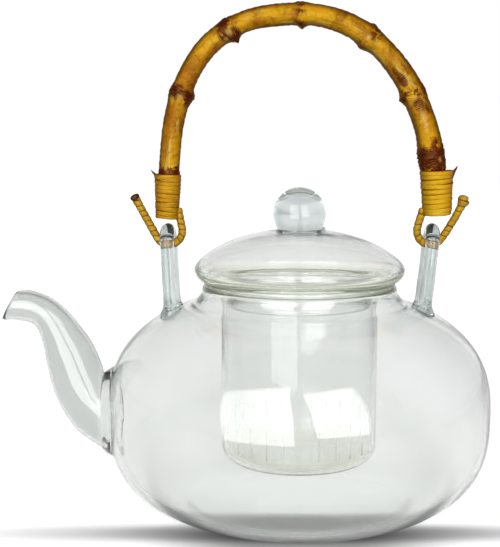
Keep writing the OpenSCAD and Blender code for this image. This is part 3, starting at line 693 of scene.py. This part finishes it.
def makeInfuser():
    # a turned cup: round corner, straight wall, flange on the pot's rim, and the same inside
    v = infuser
    topZ = v["topZ"] - seamGap
    boreR = v["r"] - v["wall"]
    cornerOut = arc(v["r"] - v["corner"], v["z"] + v["corner"], v["corner"], -90, 0, 13)
    cornerIn = arc(v["r"] - v["corner"], v["z"] + v["corner"], v["corner"] - v["wall"], -90, 0, 13)
    outer = np.concatenate([straightLine([0, v["z"]], cornerOut[0], 8)[:-1], cornerOut,
                            straightLine(cornerOut[-1], [v["r"], v["seatZ"]], 30)[1:]])
    outer = joinSoft(outer, straightLine([v["r"], v["seatZ"]], [v["flangeR"], v["seatZ"]], 4), 2.4, 6)
    outer = joinSoft(outer, straightLine([v["flangeR"], v["seatZ"]], [v["flangeR"], topZ], 2), 0.9, 5)
    outer = joinSoft(outer, straightLine([v["flangeR"], topZ], [boreR, topZ], 4), 0.9, 5)
    inner = np.concatenate([straightLine([boreR, topZ], cornerIn[-1], 30)[:-1], cornerIn[::-1],
                            straightLine(cornerIn[0], [0, v["z"] + v["wall"]], 8)[1:]])
    piece = lathe("infuserGlass", joinSoft(outer, inner, 1.8, 6), v["turns"])
    carve(piece, makeSlits(boreR - v["slitReach"], v["r"] + v["slitReach"]))
    return piece


place(makeInfuser(), "infuser", "clear_glass", thinGlass, "infuser")
print("infuser made")


lid = dict(r=41.0, seatZ=92.3, edgeZ=97.0, domeH=15.3, power=1.36, wall=2.0, footR=37.8, curl=(1.2, 0.6, 2.0),
           skirtR=28.0, skirtWall=1.8, skirtZ=80.8, knobR=10.35, knobZ=118.15, turns=256)
vent = dict(d=1.4, fromAxis=9.6, angle=25.0, lipD=3.2, lipH=0.2, lowest=100.0, highest=114.0)
vent.update(x=vent["fromAxis"] * math.cos(math.radians(vent["angle"])),
            y=vent["fromAxis"] * math.sin(math.radians(vent["angle"])))


def domeLine(inset, steps):
    # from the widest point to the top: r = R cos a, z = edge + h sin(a)^power
    a = np.radians(90 * (1 - np.linspace(1, 0, steps + 1) ** 1.35))
    return np.stack([(lid["r"] - inset) * np.cos(a),
                     lid["edgeZ"] + (lid["domeH"] - inset) * np.sin(a) ** lid["power"]], 1)


def domeZ(radius):
    # height of the dome's outside at a distance from the axis
    line = domeLine(0.0, 200)[::-1]
    return np.interp(radius, line[:, 0], line[:, 1])


def makeLid():
    # one turned profile: knob, dome, curled edge, skirt and the dome's inside
    v = lid
    footZ = v["seatZ"] + seamGap
    plateZ = footZ + v["wall"]
    curl = bezier([v["footR"], footZ], [v["r"] - v["curl"][0], footZ + v["curl"][1]],
                  [v["r"], v["edgeZ"] - v["curl"][2]], [v["r"], v["edgeZ"]], 12)
    # the dome up to where it meets the ball, then the ball to its top
    dome = domeLine(0.0, 70)
    ballR = np.sqrt(np.clip(v["knobR"] ** 2 - (domeZ(dome[:, 0]) - v["knobZ"]) ** 2, 0, None))
    meet = dome[dome[:, 0] > ballR]
    ball = arc(0, v["knobZ"], v["knobR"], -60, 90, 61)
    ball = ball[ball[:, 1] > meet[-1, 1] + 0.15]
    outer = joinSoft(np.concatenate([curl, meet[1:]]), np.concatenate([meet[-1:], ball]), 0.7, 5)
    outer[-1, 0] = 0
    # inside: the wall curls in under the dome as a seat ring and turns down into the skirt
    skirtIn = v["skirtR"] - v["skirtWall"]
    half = v["skirtWall"] / 2
    lip = arc(skirtIn + half, v["skirtZ"] + half, half, 0, -180, 9)
    inDome = domeLine(v["wall"], 60)
    wallIn = bezier([v["footR"] - 3.0, plateZ], [v["footR"] - 0.8, plateZ],
                    [v["r"] - v["wall"], v["edgeZ"] - 1.6], inDome[0], 10)
    corner = [skirtIn, plateZ]
    inside = joinSoft(straightLine(lip[-1], corner, 16), straightLine(corner, wallIn[0], 10), 2.6, 8)
    inside = np.concatenate([inside, wallIn[1:], inDome[1:]])
    inside[-1, 0] = 0
    corner = [v["skirtR"], footZ]
    under = joinSoft(straightLine(lip[0], corner, 16), straightLine(corner, curl[0], 10), 0.6, 5)
    outer = joinSoft(under, outer, 0.8, 5)
    piece = lathe("lidGlass", np.concatenate([outer[::-1], lip[1:-1], inside]), v["turns"])
    drill = lathe("ventTool", [[0, vent["lowest"]], [vent["d"] / 2, vent["lowest"]],
                               [vent["d"] / 2, vent["highest"]], [0, vent["highest"]]], 32)
    drill.data.transform(shifted(vent["x"], vent["y"], 0))
    carve(piece, drill)
    return piece


def makeVentLip():
    # a small raised ring round the steam hole: half-round above, its underside laid on the dome
    half = (vent["lipD"] - vent["d"]) / 4
    middle = vent["d"] / 2 + half
    topZ = lid["edgeZ"] + lid["domeH"] + vent["lipH"]
    upper = arc(middle, topZ - half, half, 0, 180, 13)
    lower = upper[::-1] * [1, 0]
    grid = turned(np.concatenate([upper, lower]), evenTurns(48)) + [vent["x"], vent["y"], 0]
    onDome = domeZ(np.hypot(grid[..., 0], grid[..., 1])) + seamGap
    grid[..., 2] = np.maximum(grid[..., 2], onDome)
    return surface("ventLip", grid, wrapRows=True)


place(makeLid(), "lid", "clear_glass", lidGlass, "lid_dome", "lid_skirt", "lid_knob")
place(makeVentLip(), "lid", "clear_glass", rodGlass)
print("lid made")


bail = dict(baseZ=125.0, archH=69.6, splay={1: 1.1, -1: -0.3}, power={1: 2.06, -1: 2.6},
            tilt={1: 2.0, -1: 1.9}, bindTop=134.6, bindBottom=117.2)
cane = dict(end=121.4, tenon={1: 9.0, -1: 8.6}, taper=1.2, rearD=9.6, crownD=8.5, spoutD=7.9, rowStep=0.28,
            sides=72, groove=0.16, slowWaves=0.10, quickWaves=0.05, lumps=0.22, stainRise=2.2, stainDark=0.62,
            # angle round the arch, swelling, half-width in degrees, extra swelling inside, how dark it is
            knots=[[12.8, 1.3, 4.4, 0.4, 1.2], [34.4, 1.2, 2.2, 0.7, 0.45], [60.0, 1.5, 3.0, 0.7, 0.3],
                   [90, 1.5, 2.0, 0.6, 0.45], [121, 1.6, 2.4, 0.9, 1.0], [148, 1.9, 2.0, 0.3, 1.0]],
            # dark scars: arch angle, place round the cane (0 outside, 270 front), half-sizes, depth
            scars=[[13.5, 235, 3.4, 60, 1.0], [10.8, 300, 2.6, 56, 0.9], [30.4, 268, 2.8, 32, 1.1],
                   [28.5, 300, 2.2, 16, 0.8], [40.4, 250, 3.4, 24, 1.1], [43.9, 242, 2.2, 16, 0.9],
                   [61.0, 10, 2.0, 34, 0.9], [57.0, 90, 2.4, 40, 0.8], [91.0, 225, 1.7, 32, 0.75],
                   [92.5, 350, 0.9, 34, 0.8], [89.0, 100, 1.8, 40, 0.8], [122.8, 262, 2.9, 50, 1.2],
                   [119.0, 228, 2.6, 54, 1.2], [121.5, 350, 1.7, 60, 0.9], [148.3, 300, 1.6, 46, 1.0],
                   [147.4, 245, 1.6, 46, 1.0], [148, 80, 1.6, 50, 0.9], [120, 100, 1.8, 46, 0.9],
                   [34.4, 110, 2.0, 40, 0.8], [14, 90, 2.4, 60, 0.9]],
            # pale, raw patches beside them; the last, wide one at 25 degrees on the front is a painted
            # highlight
            paleAndGlintPatches=[[121.0, 258, 1.1, 18, 1], [123.4, 236, 0.9, 12, 1], [11.8, 300, 0.8, 8, 1],
                  [33.0, 262, 0.8, 10, 1], [148.9, 270, 0.8, 14, 1], [60.5, 262, 0.9, 12, 1],
                  [25.0, 268, 3.6, 13, 1]],
            # little bumps where roots were cut off: arch angle, place round, half-sizes, height
            buds=[[119.6, 186, 0.9, 16, 0.9], [61.2, 8, 1.2, 20, 0.5], [147.2, 190, 1.0, 26, 0.4],
                  [91.4, 2, 0.7, 20, 0.35], [89.2, 180, 1.0, 22, 0.5], [33.9, 184, 1.0, 22, 0.5]])


def archPoint(angle):
    # superellipse quarters: the rear one up to 90 degrees, the spout side's beyond
    rear = np.asarray(angle) <= 90
    span = lug["x"] + np.where(rear, bail["splay"][1], bail["splay"][-1])
    power = np.where(rear, bail["power"][1], bail["power"][-1])
    c, s = np.cos(np.radians(angle)), np.sin(np.radians(angle))
    k = (np.abs(c) ** power + s ** power) ** (-1 / power)
    return np.stack([span * k * c, bail["baseZ"] + bail["archH"] * k * s], -1)


def tailAngle(side):
    # the arch angle at the binding's top
    n = bail["power"][side]
    v = (bail["bindTop"] - bail["baseZ"]) / bail["archH"]
    a = math.degrees(math.atan2(v, (1 - v ** n) ** (1 / n)))
    return a if side > 0 else 180 - a


def tailFrame(side):
    # the binding's own frame in X and Z: its top, the way down the tail and the way out from the pot
    top = archPoint(tailAngle(side))
    tilt = math.radians(bail["tilt"][side])
    down = np.array([side * math.sin(tilt), -math.cos(tilt)])
    out = np.array([side * math.cos(tilt), math.sin(tilt)])
    return top, down, out


def canePath():
    # rows of x, z and the arch angle, from the rear tail's end over the crown to the other tail's end
    a = np.linspace(tailAngle(1), tailAngle(-1), 1200)
    arch = np.concatenate([archPoint(a), a[:, None]], 1)
    ends = []
    for side in (1, -1):
        top, down, _ = tailFrame(side)
        drop = (bail["bindTop"] - cane["end"]) / math.cos(math.radians(bail["tilt"][side]))
        t = np.linspace(1, 0, 30)[:-1, None] * drop
        rows = np.concatenate([top + down * t, tailAngle(side) - side * t / 1.05], 1)
        ends.append(rows[::side])
    path = np.concatenate([ends[0], arch, ends[1]])
    run = lineLength(path[:, :2])
    even = np.linspace(0, run[-1], int(run[-1] / cane["rowStep"]))
    # a light running average takes the kinks out of the joints
    path = sampled(path, run, even)
    soft = runningAverage(path, 23)
    soft[:12] = path[:12]
    soft[-12:] = path[-12:]
    return soft, even


def patches(angle, around, rows, fall):
    # a bell-shaped patch on the cane for each row: depth exp(-(squared distance)^fall)
    fields = []
    for at, turn, long, wide, depth in rows:
        aside = (np.degrees(around) - turn + 180) % 360 - 180
        away = ((angle - at) / long) ** 2 + (aside / wide) ** 2
        fields.append(depth * np.exp(-away ** fall))
    return fields


def makeCanePiece():
    # rings round the path; radius(s, a) = taper / 2 + knots, buds and slow waves, all fading in the bindings
    path, run = canePath()
    angle, height, along = path[:, 2:3], path[:, 1:2], run[:, None]
    around = evenTurns(cane["sides"])[None, :]
    grown = np.interp(angle, [0, 90, 180], [cane["rearD"], cane["crownD"], cane["spoutD"]])
    for side in (1, -1):
        inBinding = (height < bail["bindTop"] + 0.4) & (np.sign(path[:, :1]) == side)
        deep = np.clip((bail["bindTop"] - height) / (bail["bindTop"] - cane["end"]), 0, 1)
        grown = np.where(inBinding, cane["tenon"][side] - cane["taper"] * deep - 0.1, grown)
    inside = np.cos(around - np.pi)
    swell = np.zeros(np.broadcast(angle, around).shape)
    knotMask = np.zeros_like(swell)
    for at, size, half, lean, dark in cane["knots"]:
        off = angle - at + 0.8 * np.sin(around * 2 + at)
        ring = np.exp(-(off / half) ** 2)
        swell = np.maximum(swell, size / 2 * ring * (1 + lean * inside * (inside > 0) - 0.25 * (inside < 0)))
        # a thin groove where the joint's sheath was
        swell = swell - cane["groove"] * np.exp(-((off + 0.9) / 0.33) ** 2)
        knotMask = np.maximum(knotMask, np.exp(-(off / (half * 0.8)) ** 2) * cane["stainDark"] * dark)
    swell = swell + sum(patches(angle, around, cane["buds"], 1))
    swell = swell + cane["slowWaves"] * waves(along * 0.12, around, 3, 7, 0.6, 3)
    swell = swell + cane["quickWaves"] * waves(along * 0.5, around, 5, 6, 0.8, 6)
    lumps = cane["lumps"] * knotMask * waves(along * 1.1, around, 8, 8, 0.7, 7)
    radius = runningAverage(grown, 9) / 2 + (swell + lumps) * (height > bail["bindTop"])
    # the stain creeps up from each binding
    stain = np.exp(-(np.clip(height - bail["bindTop"], 0, None) / cane["stainRise"]) ** 2) * cane["stainDark"]
    scar = np.maximum.reduce(patches(angle, around, cane["scars"], 1.5))
    scar = scar * (0.85 + 0.35 * waves(along * 2.2, around, 14, 6, 0.6, 6))
    # pale patches; the wide one on the front is a painted highlight
    raw = np.maximum.reduce(patches(angle, around, cane["paleAndGlintPatches"], 1.5))
    raw = raw * (0.8 + 0.4 * waves(along * 1.6, around, 21, 6, 0.6, 7))
    straight = np.stack([along + 0 * radius, radius * np.cos(around), radius * np.sin(around)], -1) * toMetres
    grid = ringsRound(path[:, None, :2], headingOf(path[:, :2])[:, None], radius, around)
    # flat ends: rings that shrink to the middle
    shares = np.array([0.0, 0.5, 0.9])[:, None, None]
    first, final = (ring.mean(0) + (ring - ring.mean(0)) * shares for ring in (grid[0], grid[-1]))
    grid = np.concatenate([first, grid, final[::-1]])
    fields = {"straight": straight, "knot": np.maximum(knotMask, stain), "scar": np.clip(scar, 0, 1),
              "pale": np.clip(raw, 0, 1)}
    fields = {label: padEnds(field, len(shares)) for label, field in fields.items()}
    return surface("bailCane", grid, attributes=fields, sharp=50)


place(makeCanePiece(), "handle", "bamboo", caneSkin, "handle_cane")
print("cane made")


def windStrand(name, line, radiusAt, section=14, **changes):
    # a flat strand wound round a line in the X-Z plane. Point for turn angle t and section angle p:
    # line at s = start + pitch t / 2 pi + cos(p) width / 2, pushed out by radius(s) + thick / 2 (1 + sin p)
    spec = dict(perTurn=56, ends=0.35) | changes
    seed = spec["seed"]
    t = np.linspace(0, spec["turns"] * 2 * np.pi, int(spec["turns"] * spec["perTurn"]) + 1)[:, None]
    p = evenTurns(section)[None, :]
    wander = spec["drift"] * waves(t * 0.35, 0 * t, seed, 7, 0.7, 4)
    # both ends sink in and narrow
    fade = 0.12 + 0.88 * np.clip(np.minimum(t, t[-1] - t) / (2 * np.pi * spec["ends"]), 0, 1) ** 0.5
    width = spec["width"] * fade * (1 + 0.06 * waves(t * 0.5, 0 * t, seed + 50, 5, 0.7, 4))
    across = np.sign(np.cos(p)) * np.abs(np.cos(p)) ** 0.8
    bulge = np.sign(np.sin(p)) * np.abs(np.sin(p)) ** 0.9
    thick = spec["thick"] * fade * (1 + 0.08 * waves(t * 0.8, 0 * t, seed + 9, 5, 0.7, 4))
    rise = thick * (0.5 + 0.5 * bulge)
    run = lineLength(line)
    s = spec["start"] + spec["pitch"] * t / (2 * np.pi) + wander + across * width / 2
    s = np.clip(s, 0, run[-1])
    grid = ringsRound(sampled(line, run, s), sampled(headingOf(line), run, s), radiusAt(s) + rise,
                      spec["hand"] * t + spec["phase"])
    straight = np.stack([t * radiusAt(s) + seed * 3.0, across * width / 2, rise], -1) * toMetres
    fields = {"straight": padEnds(straight), "across": padEnds(across + 0 * t)}
    return surface(name, closeEnds(grid), attributes=fields, sharp=70)


binding = dict(length=17.4, drop={1: -0.5, -1: 0.9}, outR={1: 6.45, -1: 5.25}, taperR=0.7,
               shift={1: 1.15, -1: 0.45}, strandT={1: 0.95, -1: 0.75}, turns={1: 8.2, -1: 9.2}, packed=0.5,
               # short strands at both ends and the waist: place, lift, width and pitch
               edges=[(0.95, 0.12, 2.1, 0.25), (16.35, 0.02, 1.8, 0.25), (10.788, 0.08, 1.3, 0.75)])
wedge = dict(proud={1: 1.4, -1: 1.3}, root={1: 7.1, -1: 4.3}, tip={1: 9.5, -1: 7.5}, width=3.0, thick=1.7,
             sunk=5.0)
hook = dict(d=3.15, core=1.8, innerR=5.3, outerR=5.0, back={-1: 11.0, 1: 15.0}, slope={-1: 61.5, 1: 54.5},
            sweep={-1: 0.0, 1: 13.0}, tail={-1: 18.3, 1: 19.4}, tipD={-1: 3.8, 1: 1.6},
            cap={-1: 2.1, 1: 1.25}, bulb={-1: 0.1, 1: 0.9}, seatAbove=4.3, coreSeat=13.4, pitch=2.2)


def bindingLine(side):
    # the straight middle line of the winding, a little outside the cane's own
    top, down, out = tailFrame(side)
    start = top + out * binding["shift"][side] + down * binding["drop"][side]
    return start + down * np.linspace(0, binding["length"], 60)[:, None]


def bindingRadius(side, lift=0.0):
    # the strands' inner radius at a distance down the binding
    top = binding["outR"][side] - binding["strandT"][side]
    return lambda s: top - binding["taperR"] * s / binding["length"] + lift


def makeBinding(name, side):
    # one long strand wound down the binding and three short ones over it
    v = binding
    line = bindingLine(side)
    pitch = (v["length"] - 2.2) / v["turns"][side]
    thick = v["strandT"][side]
    strands = [windStrand(name + "Main", line, bindingRadius(side), start=1.3, pitch=pitch,
                          width=pitch * 1.16, thick=thick, turns=v["turns"][side], hand=side, phase=0.6,
                          seed=31 + side, drift=0.16)]
    for k, (start, lift, width, pitch) in enumerate(v["edges"]):
        strands.append(windStrand(name + "Edge%d" % k, line, bindingRadius(side, lift), start=start,
                                  pitch=pitch, width=width, thick=thick, turns=1.25, hand=-side,
                                  phase=2.2 + k * 2, seed=41 + k + side, drift=0.05))
    return joinPieces(name, strands)


def woodFields(grid):
    # plain fibre coordinates for small wooden pieces, along the upright
    return {"straight": grid[..., [2, 0, 1]] * toMetres, "across": np.zeros(grid.shape[:2])}


def makeShadeFill(name, side):
    # a dark tube under the strands, from the cane's tail out to half the strands' thickness: painted shade
    # that shows in the gaps between them
    line = bindingLine(side)
    out = tailFrame(side)[2]
    down = np.linspace(0.5, binding["length"] - 0.7, 40)
    middle = sampled(line, lineLength(line), down)[:, None]
    a = evenTurns(64)[None, :]
    outer = bindingRadius(side)(down) + binding["strandT"][side] * binding["packed"]
    deep = np.clip(down / (bail["bindTop"] - cane["end"]), 0, 1)
    tail = (cane["tenon"][side] - cane["taper"] * deep) / 2 + 0.02
    heading = np.array([-out[1], out[0]])
    inner = ringsRound(middle - out * binding["shift"][side], heading, tail[:, None], a)
    grid = np.concatenate([ringsRound(middle, heading, outer[:, None], a), inner[::-1]])
    return surface(name, grid, wrapRows=True, attributes=woodFields(grid), sharp=50)


def makeWedge(name, side):
    # a split of cane driven in under the binding: an ellipse that narrows to a point along a curve outwards
    v = wedge
    top, down, out = tailFrame(side)
    proud = v["proud"][side] - binding["drop"][side]
    t = np.linspace(-v["sunk"], proud, 40)[:, None]
    rise = (t + v["sunk"]) / (v["sunk"] + proud)
    outAt = v["root"][side] + (v["tip"][side] - v["root"][side]) * smoothStep(0.35, 1.25, rise) / 0.9
    half = v["width"] / 2 * np.sqrt(np.clip(1 - rise ** 3.0, 0.004, 1))
    thick = v["thick"] / 2 * np.clip(1 - rise ** 4.5, 0.06, 1) * (0.5 + 0.5 * smoothStep(0.3, 0.6, rise))
    a = evenTurns(16)[None, :]
    away = outAt + thick * np.cos(a) + 0.1 * waves(t * 0.7, a, 4, 5, 0.6, 3)
    centre = top - down * t
    grid = closeEnds(np.stack([centre[:, :1] + away * out[0], half * np.sin(a) + 0.12 * np.sin(t * 1.3),
                               centre[:, 1:] + away * out[1]], -1))
    return surface(name, grid, attributes=woodFields(grid), sharp=50)


sides = {-1: ("spoutSide", "spout_side", strand["agedRattan"]), 1: ("rear", "rear", strand["bindingRattan"])}
for side, (label, node, rattan) in sides.items():
    place(makeBinding(label + "Binding", side), "handle", "rattan", rattan, node + "_binding")
for side, (label, node, rattan) in sides.items():
    # dark fill under each binding: painted shade in the gaps between the strands
    place(makeShadeFill(label + "ShadeFill", side), "handle", "dark_splint", strand["darkSplint"])
for side, (label, node, rattan) in sides.items():
    place(makeWedge(label + "Wedge", side), "handle", "dark_splint", strand["darkSplint"], node + "_wedge")
print("bindings made")


def hookLine(side, seatY):
    # down the arm from a height in the binding, round two bends through the lug's eye and up the free arm
    v = hook
    back, slope = v["back"][side], v["slope"][side]
    foot = v["innerR"] * np.array([-math.cos(math.radians(back)), 1 + math.sin(math.radians(back))])
    seat = foot + np.array([math.tan(math.radians(back)), 1]) * (seatY - foot[1])
    first = arc(0, v["innerR"], v["innerR"], 180 - back, 270, 30)[1:]
    second = arc(0, v["outerR"], v["outerR"], 270, 270 + slope, 24)[1:]
    steps = 40
    bend = np.radians(slope + v["sweep"][side] * (np.arange(steps) + 0.5) / steps)
    free = second[-1] + np.cumsum(np.stack([np.cos(bend), np.sin(bend)], 1) * v["tail"][side] / steps, 0)
    line = np.concatenate([straightLine(seat, foot, 24), first, second, free])
    run = lineLength(line)
    line = sampled(line, run, np.linspace(0, run[-1], 300))
    return np.stack([side * (lug["x"] + line[:, 0]), lug["hingeZ"] + line[:, 1]], 1)


def roundBar(name, line, radii, turns=28):
    # a closed round bar along a line in the X-Z plane with a radius for every row
    a = evenTurns(turns)[None, :]
    radii = np.asarray(radii)[:, None]
    grid = ringsRound(line[:, None], headingOf(line)[:, None], radii, a)
    run = lineLength(line)[:, None] + 0 * a
    straight = np.stack([run, radii * np.cos(a), radii * np.sin(a)], -1) * toMetres
    fields = {"straight": padEnds(straight), "across": 0 * padEnds(run)}
    return surface(name, closeEnds(grid), attributes=fields, sharp=50)


def makeHookWrap(name, side, base):
    # a coil from the binding to the tip, swollen near the tip
    v = hook
    line = hookLine(side, bail["bindBottom"] - lug["hingeZ"] + v["seatAbove"])
    total = lineLength(line)[-1]
    return windStrand(name, line, lambda s: base + v["bulb"][side] * np.exp(-((s - total + 2.0) / 1.8) ** 2),
                      start=0.9, pitch=v["pitch"], width=v["pitch"] * 1.09, thick=v["d"] / 2 - base,
                      turns=(total - 1.6) / v["pitch"], hand=side, phase=1.1, seed=61 + side, drift=0.12,
                      perTurn=40, ends=0.2)


def makeHookCore(name, side, base):
    # a bar that shows as dark lines between the coils, with a cap that swells to a rounded end at the tip
    v = hook
    line = hookLine(side, v["coreSeat"])
    heading = line[-1] - line[-2]
    heading /= np.hypot(*heading)
    t = np.linspace(0, 1, 18)[1:]
    cap = line[-1] + heading * (t * v["cap"][side] - 1.2)[:, None]
    capR = v["d"] / 2 + (v["tipD"][side] - v["d"]) / 2 * smoothStep(0, 0.45, t)
    capR = capR * np.sqrt(np.clip(1 - t ** 5, 0.003, 1))
    line = line[:-14]
    barR = np.full(len(line), base + 0.15)
    return roundBar(name, np.concatenate([line, cap]), np.concatenate([barR, capR]))


for side, (label, node, rattan) in sides.items():
    base = hook["core"] / 2 + 0.02
    wrap = makeHookWrap(label + "HookWrap", side, base)
    core = makeHookCore(label + "HookCore", side, base)
    place(wrap, "handle", "hook_rattan", strand["hookRattan"], node + "_hook_wrap")
    place(core, "handle", "dark_splint", strand["darkSplint"], node + "_hook_core")
print("hooks made")


stage = dict(floorHalf=1500.0, frontEdge=-260.0, floorZ=-0.05, floorColour=(0.87, 0.87, 0.87, 1),
             floorGlow=0.63, floorThrough=0.475, underGlow=0.22, skyLow=0.93, skyHigh=0.45,
             sideLeft=(0.72, 0.74, 0.71, 1), sideRight=(0.50, 0.56, 0.57, 1), skyMatt=0.12, boxRadiance=4.0,
             # where the sky starts and ends to dim with height, the room with X, and the table in metres of X
             skyDims=(0.08, 0.55), roomDims=(0.35, 0.95), dimLeft=(-0.10, -0.45, 1.0, 0.55),
             dimRight=(0.08, 0.42, 1.0, 0.1),
             # flat ellipses painted on the floor, in metres: half-sizes, start and end of the change, depth
             # and place behind the front of the base; the darker painted shadow, then a painted pool of light
             # gathered by the glass
             frontY=-0.031,
             paintedShadow=[(0.081, 0.0140, 0.3, 1.08, 0.80, 0.0), (0.155, 0.016, 0.4, 1.0, 0.45, 0.0),
                      (0.062, 0.0170, 0.3, 1.08, 0.7, -0.012)],
             under=(0.075, 0.050, 0.2, 1.1, 1.0, 0.048))
# suns: where they shine from, power and angle
suns = {"overhead": ((0, 0.25, 1.0), 0.5, 70.0), "front": ((0.05, -1.0, 0.36), 2.9, 16.0)}
# softboxes in metres and degrees: centre, turn about Z, X and Y, width and height
softboxes = {"softboxLeft": ((-0.256, -0.439, 0.240), (-1.4, -9.6, -3.0), 0.410, 0.581),
             "softboxRight": ((0.178, -0.481, 0.262), (28.2, -13.3, -2.35), 0.3065, 0.527)}
view = dict(lens=94.5, sensor=36.0, nearest=0.01, place=(-0.0193, -0.555, 0.1731), aim=(-0.0193, 0, 0.0948))


def makeFloorMaterial():
    material, tree = newMaterial("paleFloor")
    where = put(tree, "TexCoord").outputs["Object"]
    shift = vectorMath(tree, "ADD", where, (0.0, -stage["frontY"], 0.0))

    def ellipse(halfX, halfY, low, high, depth, back):
        # 1 outside a flat ellipse, less by depth inside it
        away = vectorMath(tree, "SUBTRACT", shift, (0.0, back, 0.0))
        away = vectorMath(tree, "MULTIPLY", away, (1 / halfX, 1 / halfY, 0.0))
        away = vectorMath(tree, "LENGTH", away, output="Value")
        return mapRange(tree, away, low, high, 1 - depth, 1.0)

    # painted shadow: the floor darkens inside flat ellipses at the front of the pot's base
    paintedShadow = multiply(tree, *[ellipse(*row) for row in stage["paintedShadow"]])
    colour = mixColour(tree, paintedShadow, (0, 0, 0, 1), stage["floorColour"])
    # a painted pool of light under the pot, which only the glass sees
    under = multiply(tree, mathNode(tree, "SUBTRACT", 1.0, ellipse(*stage["under"])), stage["underGlow"])
    under = mathNode(tree, "ADD", under, stage["floorThrough"])
    # seen through the glass the table glows less, and less still towards the sides
    across = axisOf(tree, where, "X")
    dim = multiply(tree, *[mapRange(tree, across, *stage[side]) for side in ("dimLeft", "dimRight")])
    path = put(tree, "LightPath").outputs
    through = mathNode(tree, "MAXIMUM", path["Is Transmission Ray"], path["Is Glossy Ray"])
    through = multiply(tree, multiply(tree, through, under), dim)
    level = mathNode(tree, "MULTIPLY_ADD", path["Is Camera Ray"], stage["floorGlow"], through)
    glow = put(tree, "Emission", {"Color": (1, 1, 1, 1), "Strength": multiply(tree, level, paintedShadow)})
    matt = put(tree, "BsdfDiffuse", {"Color": colour})
    both = put(tree, "AddShader", {0: matt.outputs[0], 1: glow.outputs[0]})
    put(tree, "OutputMaterial", {"Surface": both.outputs[0]})
    return material


def makeFloor():
    # a table top that ends in front of the pot, below which the softboxes reach
    half = stage["floorHalf"]
    across = np.linspace(-half, half, 61)
    back = np.linspace(stage["frontEdge"], half, 61)
    x, y = np.meshgrid(across, back, indexing="ij")
    floor = surface("floor", np.stack([x, y, 0 * x + stage["floorZ"]], -1), wrapColumns=False)
    floor.data.materials.append(makeFloorMaterial())


def makeWorld():
    # white to the camera; in the glass a room that is darker above and at its sides, and dim on matt things
    world = bpy.data.worlds.new("studio")
    bpy.context.scene.world = world
    world.use_nodes = True
    tree = world.node_tree
    tree.nodes.clear()
    toward = put(tree, "TexCoord").outputs["Generated"]
    mirrored = mapRange(tree, axisOf(tree, toward, "Z"), *stage["skyDims"], stage["skyLow"], stage["skyHigh"])
    side = axisOf(tree, toward, "X")
    near, far = stage["roomDims"]
    tint = mixColour(tree, mapRange(tree, side, near, far), (1, 1, 1, 1), stage["sideRight"])
    tint = mixColour(tree, mapRange(tree, side, -near, -far), tint, stage["sideLeft"])
    path = put(tree, "LightPath").outputs
    sharp = mathNode(tree, "MAXIMUM", path["Is Glossy Ray"], path["Is Transmission Ray"])
    level = mixValue(tree, sharp, stage["skyMatt"], mirrored)
    level = mixValue(tree, path["Is Camera Ray"], level, 1.0)
    sky = put(tree, "Background", {"Color": mixColour(tree, sharp, (1, 1, 1, 1), tint), "Strength": level})
    put(tree, "OutputWorld", {"Surface": sky.outputs[0]})


def makeLamp(name, kind, where, turn, **settings):
    data = bpy.data.lights.new(name, kind)
    for key, value in settings.items():
        setattr(data, key, value)
    lamp = bpy.data.objects.new(name, data)
    lamp.location = where
    lamp.rotation_euler = turn.to_euler()
    bpy.context.scene.collection.objects.link(lamp)
    return lamp


def makeLights():
    # the suns give shape to matt things only, the softboxes are seen in the glass only
    for name, (where, power, angle) in suns.items():
        sun = makeLamp(name, "SUN", where, (-Vector(where)).to_track_quat("-Z", "Y"), energy=power,
                       angle=math.radians(angle))
        sun.visible_glossy = False
        sun.visible_transmission = False
    for name, (where, angles, wide, high) in softboxes.items():
        turn = Matrix.Identity(4)
        for angle, axis in zip((*angles, 90), "ZXYX"):
            turn = turn @ Matrix.Rotation(math.radians(angle), 4, axis)
        box = makeLamp(name, "AREA", where, turn, shape="RECTANGLE", size=wide, size_y=high,
                       energy=stage["boxRadiance"] * math.pi * wide * high)
        box.visible_camera = False
        box.visible_diffuse = False


def makeCamera():
    data = bpy.data.cameras.new("camera")
    data.lens = view["lens"]
    data.sensor_width = view["sensor"]
    data.sensor_fit = "AUTO"
    data.clip_start = view["nearest"]
    camera = bpy.data.objects.new("camera", data)
    camera.location = view["place"]
    camera.rotation_euler = (Vector(view["aim"]) - camera.location).to_track_quat("-Z", "Y").to_euler()
    bpy.context.scene.collection.objects.link(camera)
    bpy.context.scene.camera = camera


makeFloor()
makeWorld()
makeLights()
makeCamera()
bpy.context.scene.view_settings.view_transform = "Standard"
print("stage made")
